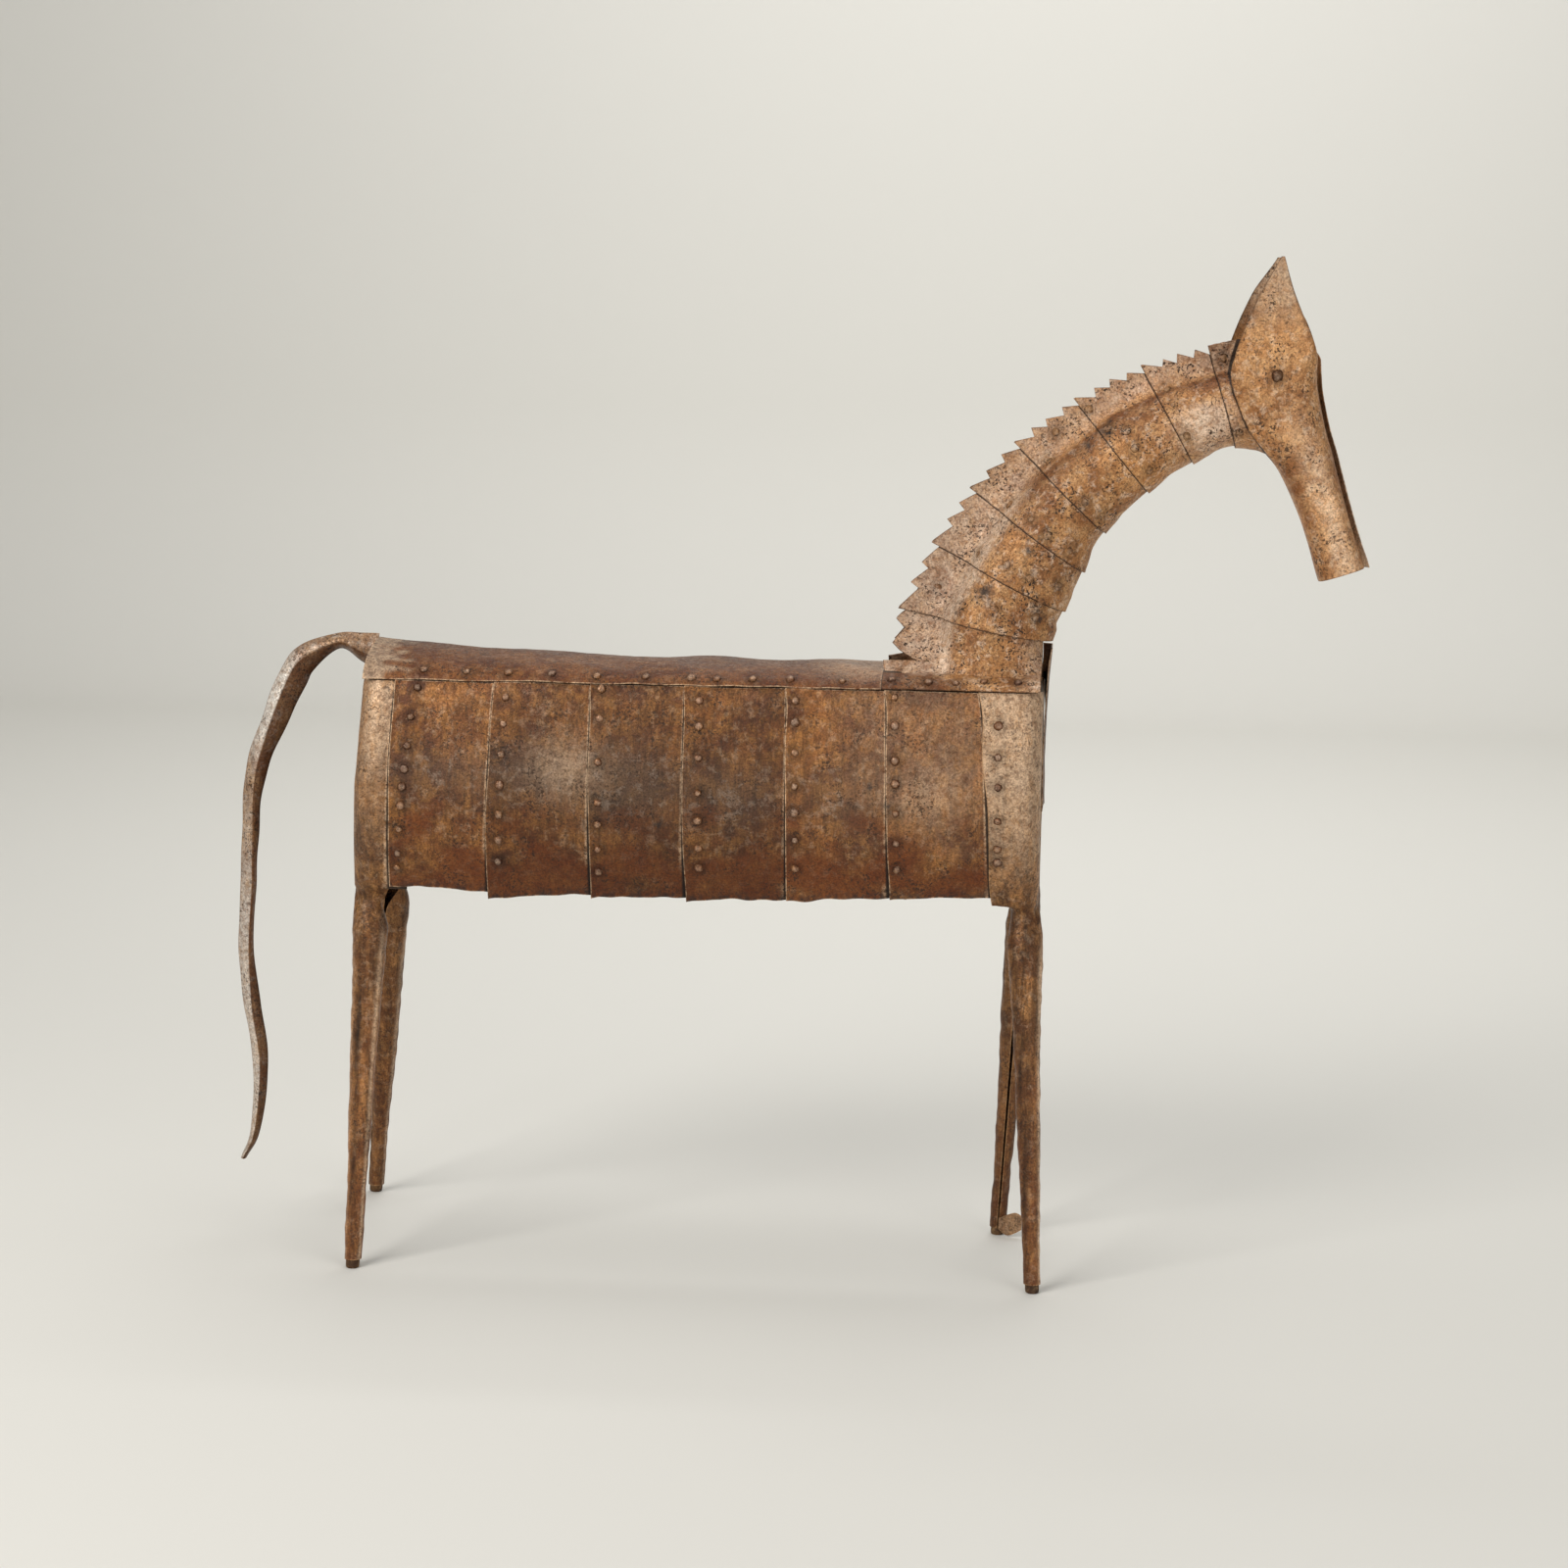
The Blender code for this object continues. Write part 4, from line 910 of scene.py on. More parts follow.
def neck_band(number, metal):
    """Band of the neck: the neck's skin between two stations, its crest edges cut as a saw.

    Along the band the lift falls from a full lap step to none; across it the rows run from the
    near crest round the throat to the far crest, and start at the saw line's depth. The plain
    collar, the last one, has a painted shadow line along the rear edge of the head that covers it.
    """
    length, length_above = band_lengths(number)
    collar = number == len(BAND_TEETH) - 1
    end = number + 1.0 if collar else number + 1.0 + LAP / length_above * TUCK_SHARE
    count = BAND_TEETH[number]
    place = np.linspace(number, end, BAND_GRID[0])
    knots = np.array(((number, 0.0), (number + 1.0, 0.0)))
    if count:
        knots = saw_line(number, number + 1.0, count, TOOTH_TIPS[number], 200 + number)
        place = np.unique(np.concatenate((place, knots[:, 0])))
    depth = np.interp(place, knots[:, 0], knots[:, 1]) + 0.001 * (place > number + 1.0)
    crest, throat, _ = neck_line(place)
    share = depth / np.linalg.norm(throat - crest, axis=-1)
    edge_turn = THROAT_TURN - np.interp(share, NECK_SHARES, NECK_TURNS)
    turn = np.linspace(-1.0, 1.0, BAND_GRID[1])[None, :] * edge_turn[:, None]
    place = place[:, None]
    low = (place - number) * length
    steps_up = 1 if number else 2
    lift = steps_up * BAND_STEP * step(LAP + LAP_RAMP, LAP, low)
    flare = step(LAP + LAP_RAMP, 0.0, low) ** 1.5
    base, _, opened = neck_skin(place, turn)
    across = curve(NECK_SECTION, turn + THROAT_TURN)[..., 0]
    out = lift + THROAT_FLARE * flare * step(0.80, 1.0, across)
    out = out + curl(low, base, BAND_CURL) * (0.35 + 0.65 * opened)
    points = neck(place, turn, out)
    if collar:
        wrinkles = COLLAR_WRINKLE * waves(base * (1, 0, 1), 0.011, 24)
        points[..., 1] += wrinkles * step(0.45, 0.10, across)
    shade, pale, rust = neck_finish(place, across)
    shade = shade - NECK_RING_SHADE * ringed(points, NECK_RIVET_POINTS)
    # Painted shadow line along the upper edge, where the next band covers this one
    dirt = np.maximum(number + 1 - place, 0.0) * length / BAND_LAP_SHADOW + 0 * across
    if collar:
        shade = shade - 0.15 * step(0.45, 1.0, place - number)
        eye_x, eye_z = eye_place()
        heights, backs = np.array(HEAD_ROWS)[::-1, :2].T
        rear = np.interp((points[..., 2] - eye_z) / HEAD_LENGTH, heights, backs)
        # Painted shadow of the head along its rear edge over the collar
        dirt = np.maximum(eye_x + HEAD_LENGTH * rear - points[..., 0], 0.0) / HEAD_LAP_SHADOW
    middle = crest.mean(0) * 0.4 + throat.mean(0) * 0.6
    inside = np.array((middle[0], 0.0, middle[1]))
    node = f"neck_band_{number + 1}"
    sheet(node, points, metal, "neck_iron", inside, shade=shade, pale=pale, dirt=dirt, rust=rust)


def neck_base(side_name, metal):
    """Half of the neck's foot: a skirt on the roof that climbs by a smooth curve into the neck.

    Its rows climb from 0 at the skirt's edge through 3 at the root to 4 where the first band
    begins. Up to 2 they lie on the body's skin, and from there to 3 they leave it by a smooth
    step. The crest edge runs along knots, and the near half is torn open over the skirt.
    """
    side = side_of(side_name)
    rear = WITHERS_X - BASE_REAR_LAP
    front = BODY_LENGTH - BASE_FRONT_GAP
    lift = 3 * LAP_STEP
    reach_across = NECK_PROFILE[-2][0]
    across = np.linspace(0.0, reach_across, BASE_GRID[1])
    x = rear + (front - rear) * across / reach_across
    turn = side * (THROAT_TURN - np.interp(across, NECK_SHARES, NECK_TURNS))
    seam, upper = (body(x, side * (RIDGE_ROW - row), lift) for row in (SEAM_ROW, SEAM_ROW + 1))
    top = neck(0.0 * turn, turn)
    out = np.abs(upper[:, 1]) * (1 - BASE_ROOT_SHARE) + BASE_ROOT_SHARE * np.abs(top[:, 1])
    widths = [curve(half_section, SEAM_ROW + rise)[0] for rise in (2.0, 1.0)]
    root_row = np.interp(out, widths, (SEAM_ROW + 2.0, SEAM_ROW + 1.2))
    root = body((x + top[:, 0]) / 2, side * (RIDGE_ROW - root_row), lift)
    tuck = LAP / band_lengths(0)[0] * TUCK_SHARE
    steps = np.array((seam, upper, root, top, neck(0.0 * turn + tuck, turn)))
    knots = np.array(BASE_EDGES[side_name])
    climb = np.unique(np.concatenate((np.linspace(0.0, 4.0, BASE_GRID[0]), knots[:, 0])))
    skirt = body(x[None, :], side * (RIDGE_ROW - SEAM_ROW - climb[climb < 2.0, None] / 2), lift)
    rise = climb[climb >= 2.0] - 1.0
    risen = curve(steps.reshape(len(steps), -1), rise).reshape(len(rise), -1, 3)
    share = np.clip(rise - 1.0, 0.0, 1.0)[:, None]
    low_x = x + share * (top[:, 0] - x) / 2
    low_row = SEAM_ROW + 1 + share * (root_row - SEAM_ROW - 1)
    on_roof = step(1.0, 0.5, share)[..., None]
    risen = risen * (1 - on_roof) + body(low_x, side * (RIDGE_ROW - low_row), lift) * on_roof
    tuck_shares = np.linspace(0.0, 1.0, TUCK_ROWS)[1:]
    tucked = [neck(0.0 * turn + tuck * share, turn) for share in tuck_shares]
    points = np.concatenate((skirt, risen, np.array(tucked)))
    climbed = np.concatenate((climb, 4.0 + tuck_shares))[:, None]
    ahead = np.interp(climbed, knots[:, 0], knots[:, 1])
    points[..., 0] += ahead * np.clip(1 - across / 0.25, 0.0, 1.0)
    shade, pale, rust = neck_finish(np.zeros_like(climbed), across[None, :])
    brown_top = 3.10 - 0.9 * step(0.0, 0.35, across[None, :]) + 0.25 * waves(points, 0.02, 37)
    brown = step(brown_top + 0.4, brown_top - 0.5, climbed) * step(0.62, 0.30, across[None, :])
    pale = pale * (1 - brown) * step(2.0, 2.8, climbed)
    pale = pale + 0.45 * step(0.80, 1.0, across[None, :] / reach_across)
    shade = shade - 0.24 * brown - BASE_RING_SHADE * ringed(points, BODY_RIVET_POINTS)
    rust = np.maximum(rust, 0.7 * brown)
    # Painted shadow line along the top, where the first band covers the foot
    dirt = np.maximum(4.0 - climbed, 0.0) * ROW_RUN / BASE_LAP_SHADOW + 0 * pale
    inside = np.array(((rear + front) / 2, 0.0, ROOF_HEIGHT))
    node = f"neck_base_{side_name}"
    sheet(node, points, metal, "neck_iron", inside, shade=shade, pale=pale, dirt=dirt, rust=rust)


def eye_place():
    """Side-view place of the eye, set off the neck's last crest point."""
    crest, _, _ = neck_line(float(len(NECK_CREST) - 1))
    return crest[0] + EYE_AHEAD, crest[1] - EYE_DROP


def head_sheet(side_name, metal):
    """Half of the head with its ear, from an outline curve and a rounded-square bend across it.

    The bend is (1 - |2a - 1|^3)^(1/3) of the way across, and an edge's roll says how much of
    the depth it takes away there.
    """
    side = side_of(side_name)
    eye_x, eye_z = eye_place()
    place = np.linspace(0.0, len(HEAD_ROWS) - 1, HEAD_GRID[0])[:, None]
    height, back, ahead, depth, roll_rear, roll_front = np.moveaxis(curve(HEAD_ROWS, place), -1, 0)
    across = (0.5 - 0.5 * np.cos(np.pi * np.linspace(0.0, 1.0, HEAD_GRID[1])))[None, :]
    bend = np.clip(1 - np.abs(2 * across - 1) ** HEAD_BEND_POWER, 0.0, 1.0) ** (1 / HEAD_BEND_POWER)
    roll = np.clip(np.where(across < 0.5, roll_rear, roll_front), 0.0, MOST_ROLL)
    x = eye_x + HEAD_LENGTH * (back + (ahead - back) * across)
    crossing = 0.0 * across
    if side_name == "far":
        lag = step(0.02, 0.10, height) * step(0.366, 0.25, height)
        x = x + FACE_SLIT * step(0.2, 0.6, roll_front) * across - EAR_LAG * lag * (1 - across)
        crossing = FACE_CROSS * step(0.90, 1.0, across) * step(-0.05, -0.35, height)
    z = eye_z + HEAD_LENGTH * height + MUZZLE_SLANT * (across - 0.5) * step(-0.52, -0.62, height)
    flatness = 1 - roll * (1 - bend)
    out = HEAD_DEPTH * depth * flatness
    flat = np.stack((x, side * out, z), -1)
    out = np.maximum(out + dents(flat) * flatness, GAP) - crossing
    points = np.stack((x, side * out, z), -1)
    ear = step(0.10, 0.32, height)
    low = step(-0.05, -0.40, height)
    jaw = low * bell(across - 0.16, 0.13)
    eye_ring = bell(np.hypot(x - eye_x, z - eye_z) - 0.009, 0.0045)
    # Painted shade along both edges of the ear and the head above the eye
    border = step(0.10, 0.0, np.minimum(across, 1 - across)) * step(0.05, 0.15, height)
    shade = 1.14 + 0.11 * low - 0.16 * ear - 0.28 * jaw - 0.35 * eye_ring - 0.35 * border
    haze_and_sheen = 0.45 * ear + 0.40 * bell(across - 0.72, 0.16) * bell(height + 0.14, 0.09)
    # Painted highlight down the face, low on the head
    pale = 0.45 * ear + 0.60 * low * bell(across - 0.62, 0.22)
    if side_name == "far":
        # Painted light on the far half's front edge, where it shows past the near half
        pale = pale + 1.2 * low * step(0.92, 0.97, across)
    inside = np.array((eye_x, 0.0, eye_z - 0.1))
    marks = {"shade": shade, "pale": pale, "haze_and_sheen": haze_and_sheen, "rust": 0.45 * jaw + 0.25 * eye_ring}
    sheet(f"head_{side_name}", points, metal, "head_iron", inside, **marks)


# Profile of a rivet head: share of its radius, share of its height, brightness, which paints shade
# at the rim and a highlight on top
DOME = (
    (0.80, -0.5, 0.55), (1.0, -0.5, 0.55), (1.0, 0.15, 0.60),
    (0.84, 0.66, 0.85), (0.50, 0.94, 1.10), (0.16, 1.0, 1.15),
)
# Sides of a rivet head; the range of its width and of its height; how unevenly it is beaten
DOME_SIDES = 12
DOME_WIDTHS = (0.82, 1.12)
DOME_HEIGHTS = (0.65, 1.25)
DOME_UNEVEN = (0.09, 0.10)


def domes(name, seats, normals, size, metal, seed, tone):
    """Rivet heads: one hammered dome of six rings, set on each seat and turned along its normal."""
    chance = np.random.default_rng(seed)
    turns = np.linspace(0, 2 * np.pi, DOME_SIDES + 1)[:-1]
    ring_radius, ring_height, ring_shade = np.array(DOME).T
    guide = np.where(np.abs(normals[:, :1]) > 0.8, (0.0, 0.0, 1.0), (1.0, 0.0, 0.0))
    first = np.cross(normals, guide)
    first /= np.linalg.norm(first, axis=1)[:, None]
    second = np.cross(normals, first)
    wide = size[0] * chance.uniform(*DOME_WIDTHS, len(seats))
    tall = size[1] * chance.uniform(*DOME_HEIGHTS, len(seats))
    grid = (len(seats), len(DOME), len(turns))
    ragged = 1 + DOME_UNEVEN[0] * chance.normal(size=grid)
    beaten = 1 + DOME_UNEVEN[1] * chance.normal(size=grid)
    ring_out = (ring_radius[None, :, None] * wide[:, None, None] * ragged)[..., None]
    round_way = (np.cos(turns)[None, None, :, None] * first[:, None, None, :]
                 + np.sin(turns)[None, None, :, None] * second[:, None, None, :])
    lift = (ring_height[None, :, None] * tall[:, None, None] * beaten)[..., None]
    rings = seats[:, None, None, :] + ring_out * round_way + lift * normals[:, None, None, :]
    points, faces = [], []
    for rivet in rings:
        made, dome_faces = closed_rings(rivet)
        faces += [[i + len(points) * len(made) for i in face] for face in dome_faces]
        points.append(made)
    # Painted light: dark at the rim, bright on top, with a pale highlight where brightest
    shade = np.append(np.repeat(ring_shade, len(turns)), (ring_shade[0], ring_shade[-1]))
    shade = np.tile(shade, len(rings))
    marks = {"shade": shade * tone, "pale": 1.6 * tone * np.clip(shade - 0.95, 0, 1)}
    return put_mesh(name, np.concatenate(points), faces, metal, marks)


def rivets(body_rivet_metal, neck_rivet_metal):
    """All the rivet heads of the body and the neck, on the outer face of the sheet they hold."""
    x, turn, lift = BODY_RIVETS.T
    _, normal = body_skin(x, turn)
    seats = body(x, turn, lift + SHEET)
    size = (RIVET_RADIUS, RIVET_HEIGHT)
    domes("body_rivets", seats, normal, size, body_rivet_metal, 301, 0.95)
    place, turn, lift = NECK_RIVET_PLACES.T
    _, normal, _ = neck_skin(place, turn)
    seats = neck(place, turn, lift + SHEET)
    size = (RIVET_RADIUS, NECK_RIVET_HEIGHT)
    domes("neck_rivets", seats, normal, size, neck_rivet_metal, 302, 0.66)


def eye_rivet(side_name, metal):
    """Large domed rivet at the eye, on the head's outer face."""
    side = side_of(side_name)
    eye_x, eye_z = eye_place()
    flat = np.array(((eye_x, side * (HEAD_DEPTH + SHEET), eye_z),))
    seats = flat + (0, side, 0) * dents(flat)[:, None]
    normal = np.array(((0.0, side, 0.0),))
    name = f"eye_rivet_{side_name}_visual"
    piece = domes(name, seats, normal, (EYE_RADIUS, EYE_HEIGHT), metal, 303, 0.55)
    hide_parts(f"eye_rivet_{side_name}")


def tail_strip(metal):
    """Tail: a strip between two edge curves, folded to a rounded V whose fold wanders across it."""
    last = len(TAIL_OUTER) - 1
    place = np.linspace(0.0, last, TAIL_GRID[0])[:, None]
    root = [(rear_end(HEM_HEIGHT + z) + x, z) for x, z in (TAIL_OUTER[0], TAIL_INNER[0])]
    outer = curve((root[0], *TAIL_OUTER[1:]), place[:, 0])[:, None, :]
    inner = curve((root[1], *TAIL_INNER[1:]), place[:, 0])[:, None, :]
    fold_at = curve([(f,) for f in FOLD_PLACES], place[:, 0])
    share = np.linspace(0.0, 2.0, TAIL_GRID[1])[None, :]
    across = np.where(share < 1, share * fold_at, fold_at + (share - 1) * (1 - fold_at))
    fold = TAIL_FOLD * (1 - place / last * 0.5)
    rise = np.sin(np.minimum(share, 2 - share) * np.pi / 2)
    flat = outer * (1 - across[..., None]) + inner * across[..., None]
    base = np.stack((flat[..., 0], fold / 2 - fold * rise, HEM_HEIGHT + flat[..., 1]), -1)
    free = step(1.0, 3.0, place)
    ragged = 0.0004 * waves(base * (1, 0, 1), 0.060, 91) * free * (2 * np.abs(across - 0.5)) ** 2
    swing = 0.0006 * waves(base, 0.12, 92) * free
    points = base + np.stack((ragged, swing, 0 * ragged), -1)
    inner_flange = step(0.98, 1.06, share)
    hidden = step(6.2, 7.0, place) * step(8.6, 8.0, place)
    # Painted light: shine is a painted highlight on the outer side, and the inner flange is painted in
    # shade, darkest at its inner edge and browned through the rust mark
    shine = bell(place - 4.4, 0.9) * (1 - inner_flange)
    shade = 1.0 - 0.42 * inner_flange * (1 - 0.5 * hidden) - 0.25 * step(1.7, 2.0, share)
    silver = step(5.5, 8.0, place) * (1 - inner_flange)
    pale = np.clip(0.10 + 1.3 * shine + 0.65 * silver, 0, 1.3) * (1 - 0.9 * inner_flange)
    rust = 0.5 * inner_flange + 0 * place
    inside = np.array((0.0, 1.0, HEM_HEIGHT))
    sheet("tail_strip", points, metal, "tail_iron", inside, shade=shade, pale=pale, rust=rust)


def foot_scrap(metal):
    """Torn scrap of sheet: a bowed outline curve with an uneven upper edge."""
    foot = leg_centre("far_front", 1.0)
    place = np.linspace(0.0, len(SCRAP_OUTLINE) - 1, SCRAP_GRID[0])[:, None]
    along, low, high, bow = np.moveaxis(curve(SCRAP_OUTLINE, place), -1, 0)
    up = np.linspace(0.0, 1.0, SCRAP_GRID[1])[None, :]
    high = high + wobble(along * SCRAP_LENGTH, 95, 0.014, 0.02)
    x = foot[0] + LEG_FOOT_RADIUS / 5 + SCRAP_LENGTH * along + 0 * up
    y = foot[1] - LEG_FOOT_RADIUS - SHEET - 2 * GAP - bow - SCRAP_LEAN * up
    z = SCRAP_HEIGHT * (low + (high - low) * up) + SHEET
    points = np.stack((x, y, z), -1)
    sheet("foot_scrap", points, metal, "leg_iron", np.array((foot[0], 1.0, 0.0)), pale=0.3)


def linear(code):
    """Linear colour of an sRGB hex value."""
    parts = [int(code[i:i + 2], 16) / 255 for i in (1, 3, 5)]
    return (*[c / 12.92 if c <= 0.04045 else ((c + 0.055) / 1.055) ** 2.4 for c in parts], 1.0)


def add(tree, kind, settings, inputs):
    """Node of a kind with its settings; an input that is a socket is linked, any other is a value."""
    made = tree.nodes.new(kind)
    for name, value in settings.items():
        setattr(made, name, value)
    for name, value in inputs.items():
        if isinstance(value, bpy.types.NodeSocket):
            tree.links.new(value, made.inputs[name])
        else:
            made.inputs[name].default_value = value
    return made


# Patterns of the rust: size in millimetres, detail, roughness, the two ends of its soft threshold,
# and whether it is drawn out along the height. Real pits are finer than 1 mm, and drawn coarser here.
RUST_PATTERNS = {
    "patch": (70.0, 3.0, 0.60, 0.40, 0.60, False),
    "blotch": (20.0, 4.0, 0.65, 0.42, 0.62, False),
    "mottle": (5.2, 3.0, 0.75, 0.40, 0.62, False),
    "speck": (3.2, 2.0, 0.60, 0.53, 0.62, False),
    "grain": (2.2, 2.0, 0.60, 0.30, 0.70, False),
    "streak": (4.5, 4.0, 0.65, 0.44, 0.64, True),
    "band": (18.0, 3.0, 0.60, 0.42, 0.62, True),
    "cluster": (34.0, 3.0, 0.60, 0.46, 0.62, False),
    "bloom": (12.0, 4.0, 0.70, 0.50, 0.68, False),
    "scuff": (8.0, 4.0, 0.70, 0.34, 0.60, False),
}
MILLIMETRES = 1000.0


def rusted_iron(name, tones, streaks, pits, bloom, rim, edge, roughness, metallic):
    """Sheet iron rusted brown and then waxed: brown patches a hand wide, thumb-wide blotches, a
    mottle of 6 mm and black specks in clusters, edges rubbed light and a satin, part metallic gloss.
    Its marks also paint light and shade into the colour: brightness, highlights, a grey sheen,
    shadow lines in the laps, and on the neck and head a dark edge colour for their shadow line."""
    material = bpy.data.materials.new(name)
    material.use_nodes = True
    tree = material.node_tree
    shader = tree.nodes["Principled BSDF"]
    place = add(tree, "ShaderNodeTexCoord", {}, {}).outputs["Object"]
    drawn = add(tree, "ShaderNodeMapping", {}, {"Vector": place, "Scale": (1.0, 1.0, 0.07)}).outputs[0]
    seen = {}
    for mark in MARKS:
        seen[mark] = add(tree, "ShaderNodeAttribute", {"attribute_name": mark}, {}).outputs["Fac"]
    for pattern, (size, detail, rough, low, high, upright) in RUST_PATTERNS.items():
        values = {"Vector": drawn if upright else place, "Scale": MILLIMETRES / size, "Detail": detail}
        values.update({"Roughness": rough, "Distortion": 0.4})
        noise = add(tree, "ShaderNodeTexNoise", {}, values).outputs["Fac"]
        ends = {"Value": noise, "From Min": low, "From Max": high}
        soft = {"interpolation_type": "SMOOTHSTEP"}
        seen[pattern] = add(tree, "ShaderNodeMapRange", soft, ends).outputs["Result"]
    # The first line tints the cut edges: light wear on some sheets, a painted shadow line on others; the
    # rim is a rubbed light line beyond a covering lap, and the last line is painted shadow in the lap
    lines = {"edge_wear_and_shadow": ("edge", 0.0015, 0.0004), "rim": ("dirt", 2.6, 1.3), "lap_shadow_line": ("dirt", 1.3, 0.6)}
    for line, (mark, far, close) in lines.items():
        ends = {"Value": seen[mark], "From Min": far, "From Max": close}
        seen[line] = add(tree, "ShaderNodeMapRange", {}, ends).outputs["Result"]
    values = {0: 1.0, 1: seen["rust"]}
    seen["clean"] = add(tree, "ShaderNodeMath", {"operation": "SUBTRACT"}, values).outputs[0]

    dark, middle, light, pale_tone = tones
    # The haze layers also paint a grey sheen, and the pale layers paint highlights as well as rubbed wear
    layers = (
        (("patch",), 1.0, middle), (("blotch",), 0.65 - 0.25 * streaks, light),
        (("mottle",), 0.52 - 0.22 * streaks, dark), (("band",), 0.55 * streaks, dark),
        (("streak",), 0.65 * streaks, "#38220f"), (("bloom",), bloom, pale_tone),
        (("rust",), 0.60, "#652f14"), (("haze_and_sheen",), 0.60, "#56493f"),
        (("rust", "mottle"), 0.35, "#804720"), (("haze_and_sheen", "bloom"), 0.40, "#94857a"),
        (("pale",), 0.30, pale_tone), (("pale", "scuff"), 0.70, pale_tone),
        (("rim", "scuff", "clean"), rim, pale_tone),
        (("speck", "cluster"), pits, "#2c211c"), (("speck",), 0.45 * pits, "#44301f"),
        (("edge_wear_and_shadow", "scuff"), 0.85, edge), (("black",), 0.85, "#222527"), (("lap_shadow_line",), 0.92, "#1a120d"),
    )
    colour = linear(dark)
    for factors, amount, tint in layers:
        cover = amount
        for factor in factors:
            values = {0: cover, 1: seen[factor]}
            cover = add(tree, "ShaderNodeMath", {"operation": "MULTIPLY"}, values).outputs[0]
        values = {0: cover, 6: colour, 7: linear(tint)}
        colour = add(tree, "ShaderNodeMix", {"data_type": "RGBA"}, values).outputs[2]
    ends = {"Value": seen["grain"], "To Min": 0.74, "To Max": 1.26}
    grain_tone = add(tree, "ShaderNodeMapRange", {}, ends).outputs["Result"]
    # The shade mark carries painted light and shade along with the sheet's own tone
    values = {0: grain_tone, 1: seen["shade"]}
    tone = add(tree, "ShaderNodeMath", {"operation": "MULTIPLY"}, values).outputs[0]
    lit = add(tree, "ShaderNodeVectorMath", {"operation": "SCALE"}, {0: colour, "Scale": tone}).outputs[0]

    height = 0.0
    for pattern, weight in (("mottle", 0.35), ("grain", 0.22), ("blotch", 0.45), ("speck", -0.45)):
        values = {0: seen[pattern], 1: weight, 2: height}
        height = add(tree, "ShaderNodeMath", {"operation": "MULTIPLY_ADD"}, values).outputs[0]
    bump = add(tree, "ShaderNodeBump", {}, {"Strength": 0.6, "Distance": 0.0007, "Height": height})
    ends = {"Value": seen["mottle"], "To Min": roughness - 0.07, "To Max": roughness + 0.09}
    gloss = add(tree, "ShaderNodeMapRange", {}, ends).outputs["Result"]

    tree.links.new(lit, shader.inputs["Base Color"])
    tree.links.new(gloss, shader.inputs["Roughness"])
    tree.links.new(bump.outputs["Normal"], shader.inputs["Normal"])
    shader.inputs["Metallic"].default_value = metallic
    shader.inputs["Specular IOR Level"].default_value = 0.3
    return material


# Dark, middle, light and pale tones (rubbed wear and painted highlights); shares of streaks, pits,
# bloom and lit rims; colour of the cut edges, which on the neck and head paints a dark shadow line;
# roughness and metallic share
# Body: sheet iron rusted in the open and waxed, which gives a red-brown with light laps
body_metal = rusted_iron(
    "waxed_rust_red_brown_sheet", ("#5a3520", "#8c5a30", "#ab7840", "#d0b090"),
    0.70, 0.75, 0.20, 0.75, "#cfae8c", 0.46, 0.30)
# Legs: the same sheet rolled and handled, which gives light and dark streaks down their length
leg_metal = rusted_iron(
    "waxed_rust_streaked_rolled_sheet", ("#5f3b20", "#95663a", "#bd8c56", "#d8b898"),
    1.0, 0.55, 0.20, 0.60, "#a88058", 0.46, 0.30)
# Neck: sheet bent and pitted by the weather, which gives a tan full of black specks; its dark edge
# colour paints the shadow line along the lapped edges
neck_metal = rusted_iron(
    "waxed_rust_pitted_tan_sheet", ("#84552f", "#b5814f", "#cda06e", "#dfc6ae"),
    0.20, 1.0, 0.50, 0.10, "#56381f", 0.50, 0.25)
# Head: the lightest sheet, rubbed at the ear, which gives a soft golden tan; the pale stripe down
# the face is a painted highlight, and its dark edge colour paints a shadow line along the edges
head_metal = rusted_iron(
    "waxed_rust_light_tan_sheet", ("#8c5c34", "#bd8856", "#d2a472", "#e0c6aa"),
    0.25, 0.85, 0.40, 0.10, "#5c3d24", 0.48, 0.25)
# Tail: strip rubbed down to the grey metal on its outer side, which gives a smoother, silvery
# gloss; its near-white pale tone also paints the highlight on that side
tail_metal = rusted_iron(
    "rubbed_rust_folded_strip", ("#7a5230", "#a57c50", "#c29c72", "#e8e0d6"),
    0.60, 0.70, 0.25, 0.10, "#6e4e32", 0.36, 0.35)
# Feet: forged pegs worn on the floor, which gives a dull ochre brown
foot_metal = rusted_iron(
    "dull_brown_forged_peg", ("#4a301e", "#86623c", "#a88256", "#c4a278"),
    0.30, 0.50, 0.25, 0.10, "#7c5c3a", 0.60, 0.20)
# Rivets: heads hammered flat and rubbed; the small highlight inside a dark ring is painted through
# the domes' brightness marks
rivet_metal = rusted_iron(
    "hammered_rivet_iron", ("#52301e", "#7c4f30", "#a07046", "#dcc2aa"),
    0.0, 0.50, 0.25, 0.10, "#5c3a24", 0.38, 0.40)

spine_sheet(body_metal)
rump_sheet(body_metal)
chest_sheet(body_metal)
for side_name in ("near", "far"):
    for number in range(1, len(SEAMS)):
        side_panel(side_name, number, body_metal)
    neck_base(side_name, neck_metal)
    head_sheet(side_name, head_metal)
    eye_rivet(side_name, rivet_metal)
for leg in LEG_PLACES:
    leg_sheet(leg, leg_metal)
    foot_peg(leg, foot_metal)
for number in range(len(BAND_TEETH)):
    neck_band(number, neck_metal)
tail_strip(tail_metal)
foot_scrap(leg_metal)
rivets(rivet_metal, neck_metal)


# Where the floor begins to sweep up behind the horse, the sweep's radius and the wall's height
WALL_SWEEP = (5.4, 0.9, 7.0)
FLOOR_REACH = 9.0


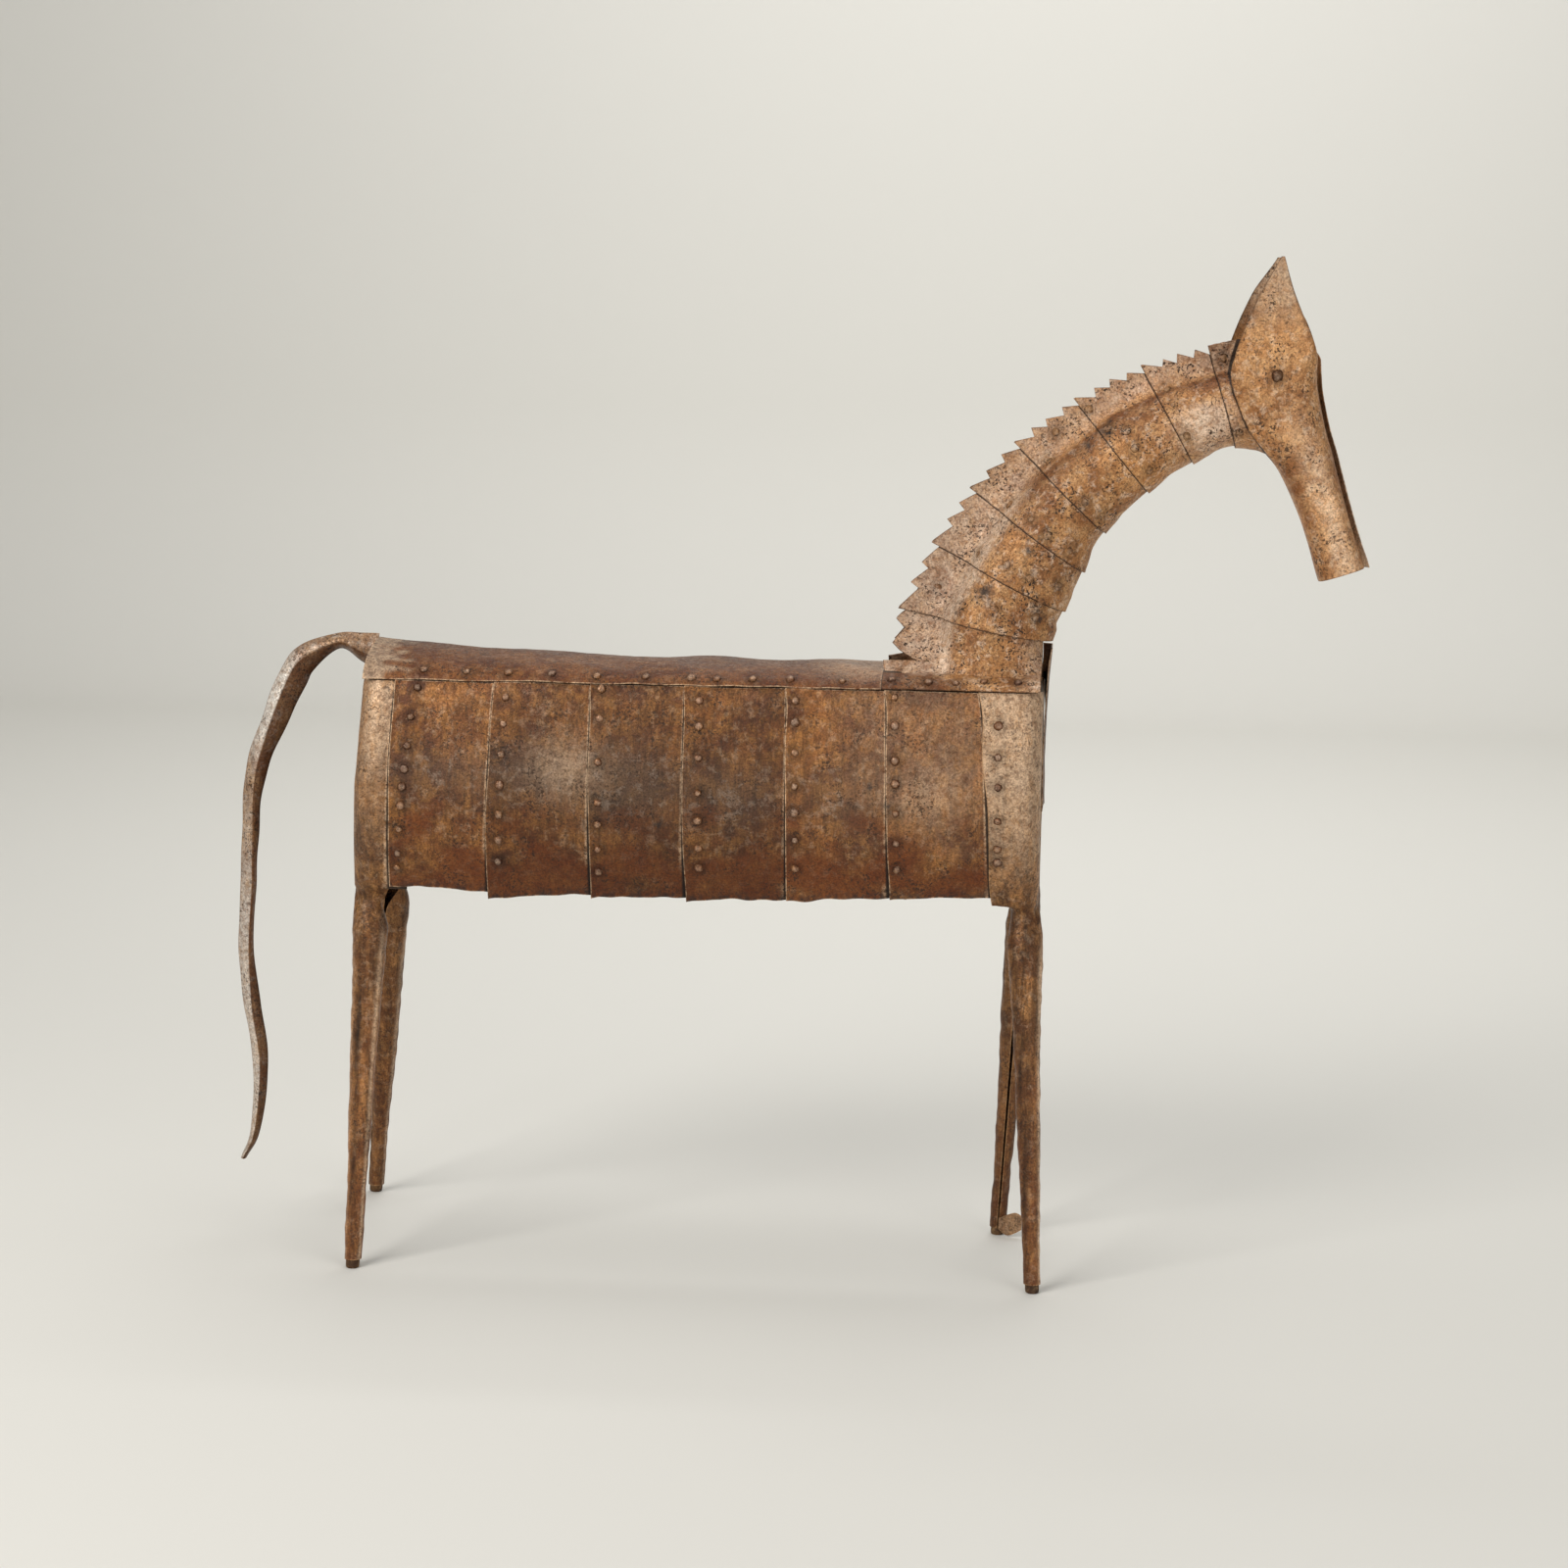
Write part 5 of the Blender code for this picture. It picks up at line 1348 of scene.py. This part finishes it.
def studio_floor():
    """Pale floor that sweeps up into a wall in a quarter circle, well behind the horse."""
    bend = np.radians(np.linspace(0, 90, 16))
    start, radius, top = WALL_SWEEP
    y = np.concatenate(((-FLOOR_REACH, start), start + radius * np.sin(bend), (start + radius,)))
    z = np.concatenate(((0.0, 0.0), radius - radius * np.cos(bend), (top,)))
    x = np.array((-FLOOR_REACH, FLOOR_REACH))
    points = np.stack(np.broadcast_arrays(x[None, :], y[:, None], z[:, None]), -1).reshape(-1, 3)
    low = np.arange(len(y) - 1) * 2
    faces = np.stack((low, low + 1, low + 3, low + 2), -1)
    mesh = bpy.data.meshes.new("studio_floor")
    mesh.from_pydata(points.tolist(), [], faces.tolist())
    mesh.polygons.foreach_set("use_smooth", np.ones(len(mesh.polygons), bool))
    floor = bpy.data.objects.new("studio_floor", mesh)
    bpy.context.scene.collection.objects.link(floor)
    # Matt paint takes the soft shadow and no reflection
    paint = bpy.data.materials.new("matt_pale_floor_paint")
    paint.use_nodes = True
    shader = paint.node_tree.nodes["Principled BSDF"]
    shader.inputs["Base Color"].default_value = linear("#e0ded8")
    shader.inputs["Roughness"].default_value = 0.75
    mesh.materials.append(paint)


def soft_light(name, place, aim, size, power, colour):
    """Square soft light at a place, turned to its aim."""
    data = bpy.data.lights.new(name, "AREA")
    data.size = size
    data.energy = power
    data.color = colour
    lamp = bpy.data.objects.new(name, data)
    lamp.location = place
    lamp.rotation_euler = (Vector(aim) - Vector(place)).to_track_quat("-Z", "Y").to_euler()
    bpy.context.scene.collection.objects.link(lamp)


# Focal length and width of the picture in its own dots; where the camera stands and how it turns
FOCAL_LENGTH = 3323
PICTURE_WIDTH = 1600
CAMERA_PLACE = (0.885, -4.060, 1.204)
CAMERA_YAW = 5.0
CAMERA_PITCH = 8.35
CAMERA_ROLL = 0.66
# Soft lights: name, place, aim, size, power and colour. The last one lights the wall alone.
LIGHTS = (
    ("key_light", (-2.4, -3.0, 3.0), (0.0, 0.0, 0.7), 2.2, 124.0, (1.0, 0.98, 0.95)),
    ("fill_light", (2.8, -3.6, 1.6), (0.0, 0.0, 0.6), 2.6, 52.0, (1.0, 0.99, 0.98)),
    ("top_light", (0.2, 0.2, 3.6), (0.0, 0.0, 0.0), 2.5, 30.0, (1.0, 1.0, 1.0)),
    ("wall_light", (0.3, 2.6, 4.6), (0.4, 6.3, 1.2), 2.5, 130.0, (1.0, 1.0, 1.0)),
)


def camera():
    """Camera at the photograph's viewing angle, in body axes, turned by pitch, yaw and roll."""
    data = bpy.data.cameras.new("photo_camera")
    data.sensor_width = 36.0
    data.lens = FOCAL_LENGTH / PICTURE_WIDTH * data.sensor_width
    view = bpy.data.objects.new("photo_camera", data)
    turn = Matrix.Rotation(math.radians(CAMERA_YAW), 4, "Z")
    turn = turn @ Matrix.Rotation(math.radians(90 - CAMERA_PITCH), 4, "X")
    turn = turn @ Matrix.Rotation(math.radians(CAMERA_ROLL), 4, "Z")
    view.matrix_world = Matrix.Translation(Vector(CAMERA_PLACE) + Vector(SHIFT)) @ turn
    bpy.context.scene.collection.objects.link(view)
    bpy.context.scene.camera = view


studio_floor()
for light in LIGHTS:
    soft_light(*light)
world = bpy.data.worlds.new("studio_air")
world.use_nodes = True
air = world.node_tree.nodes["Background"]
air.inputs["Color"].default_value = linear("#e4e4e0")
air.inputs["Strength"].default_value = 0.40
bpy.context.scene.world = world
bpy.context.scene.view_settings.view_transform = "Standard"
camera()
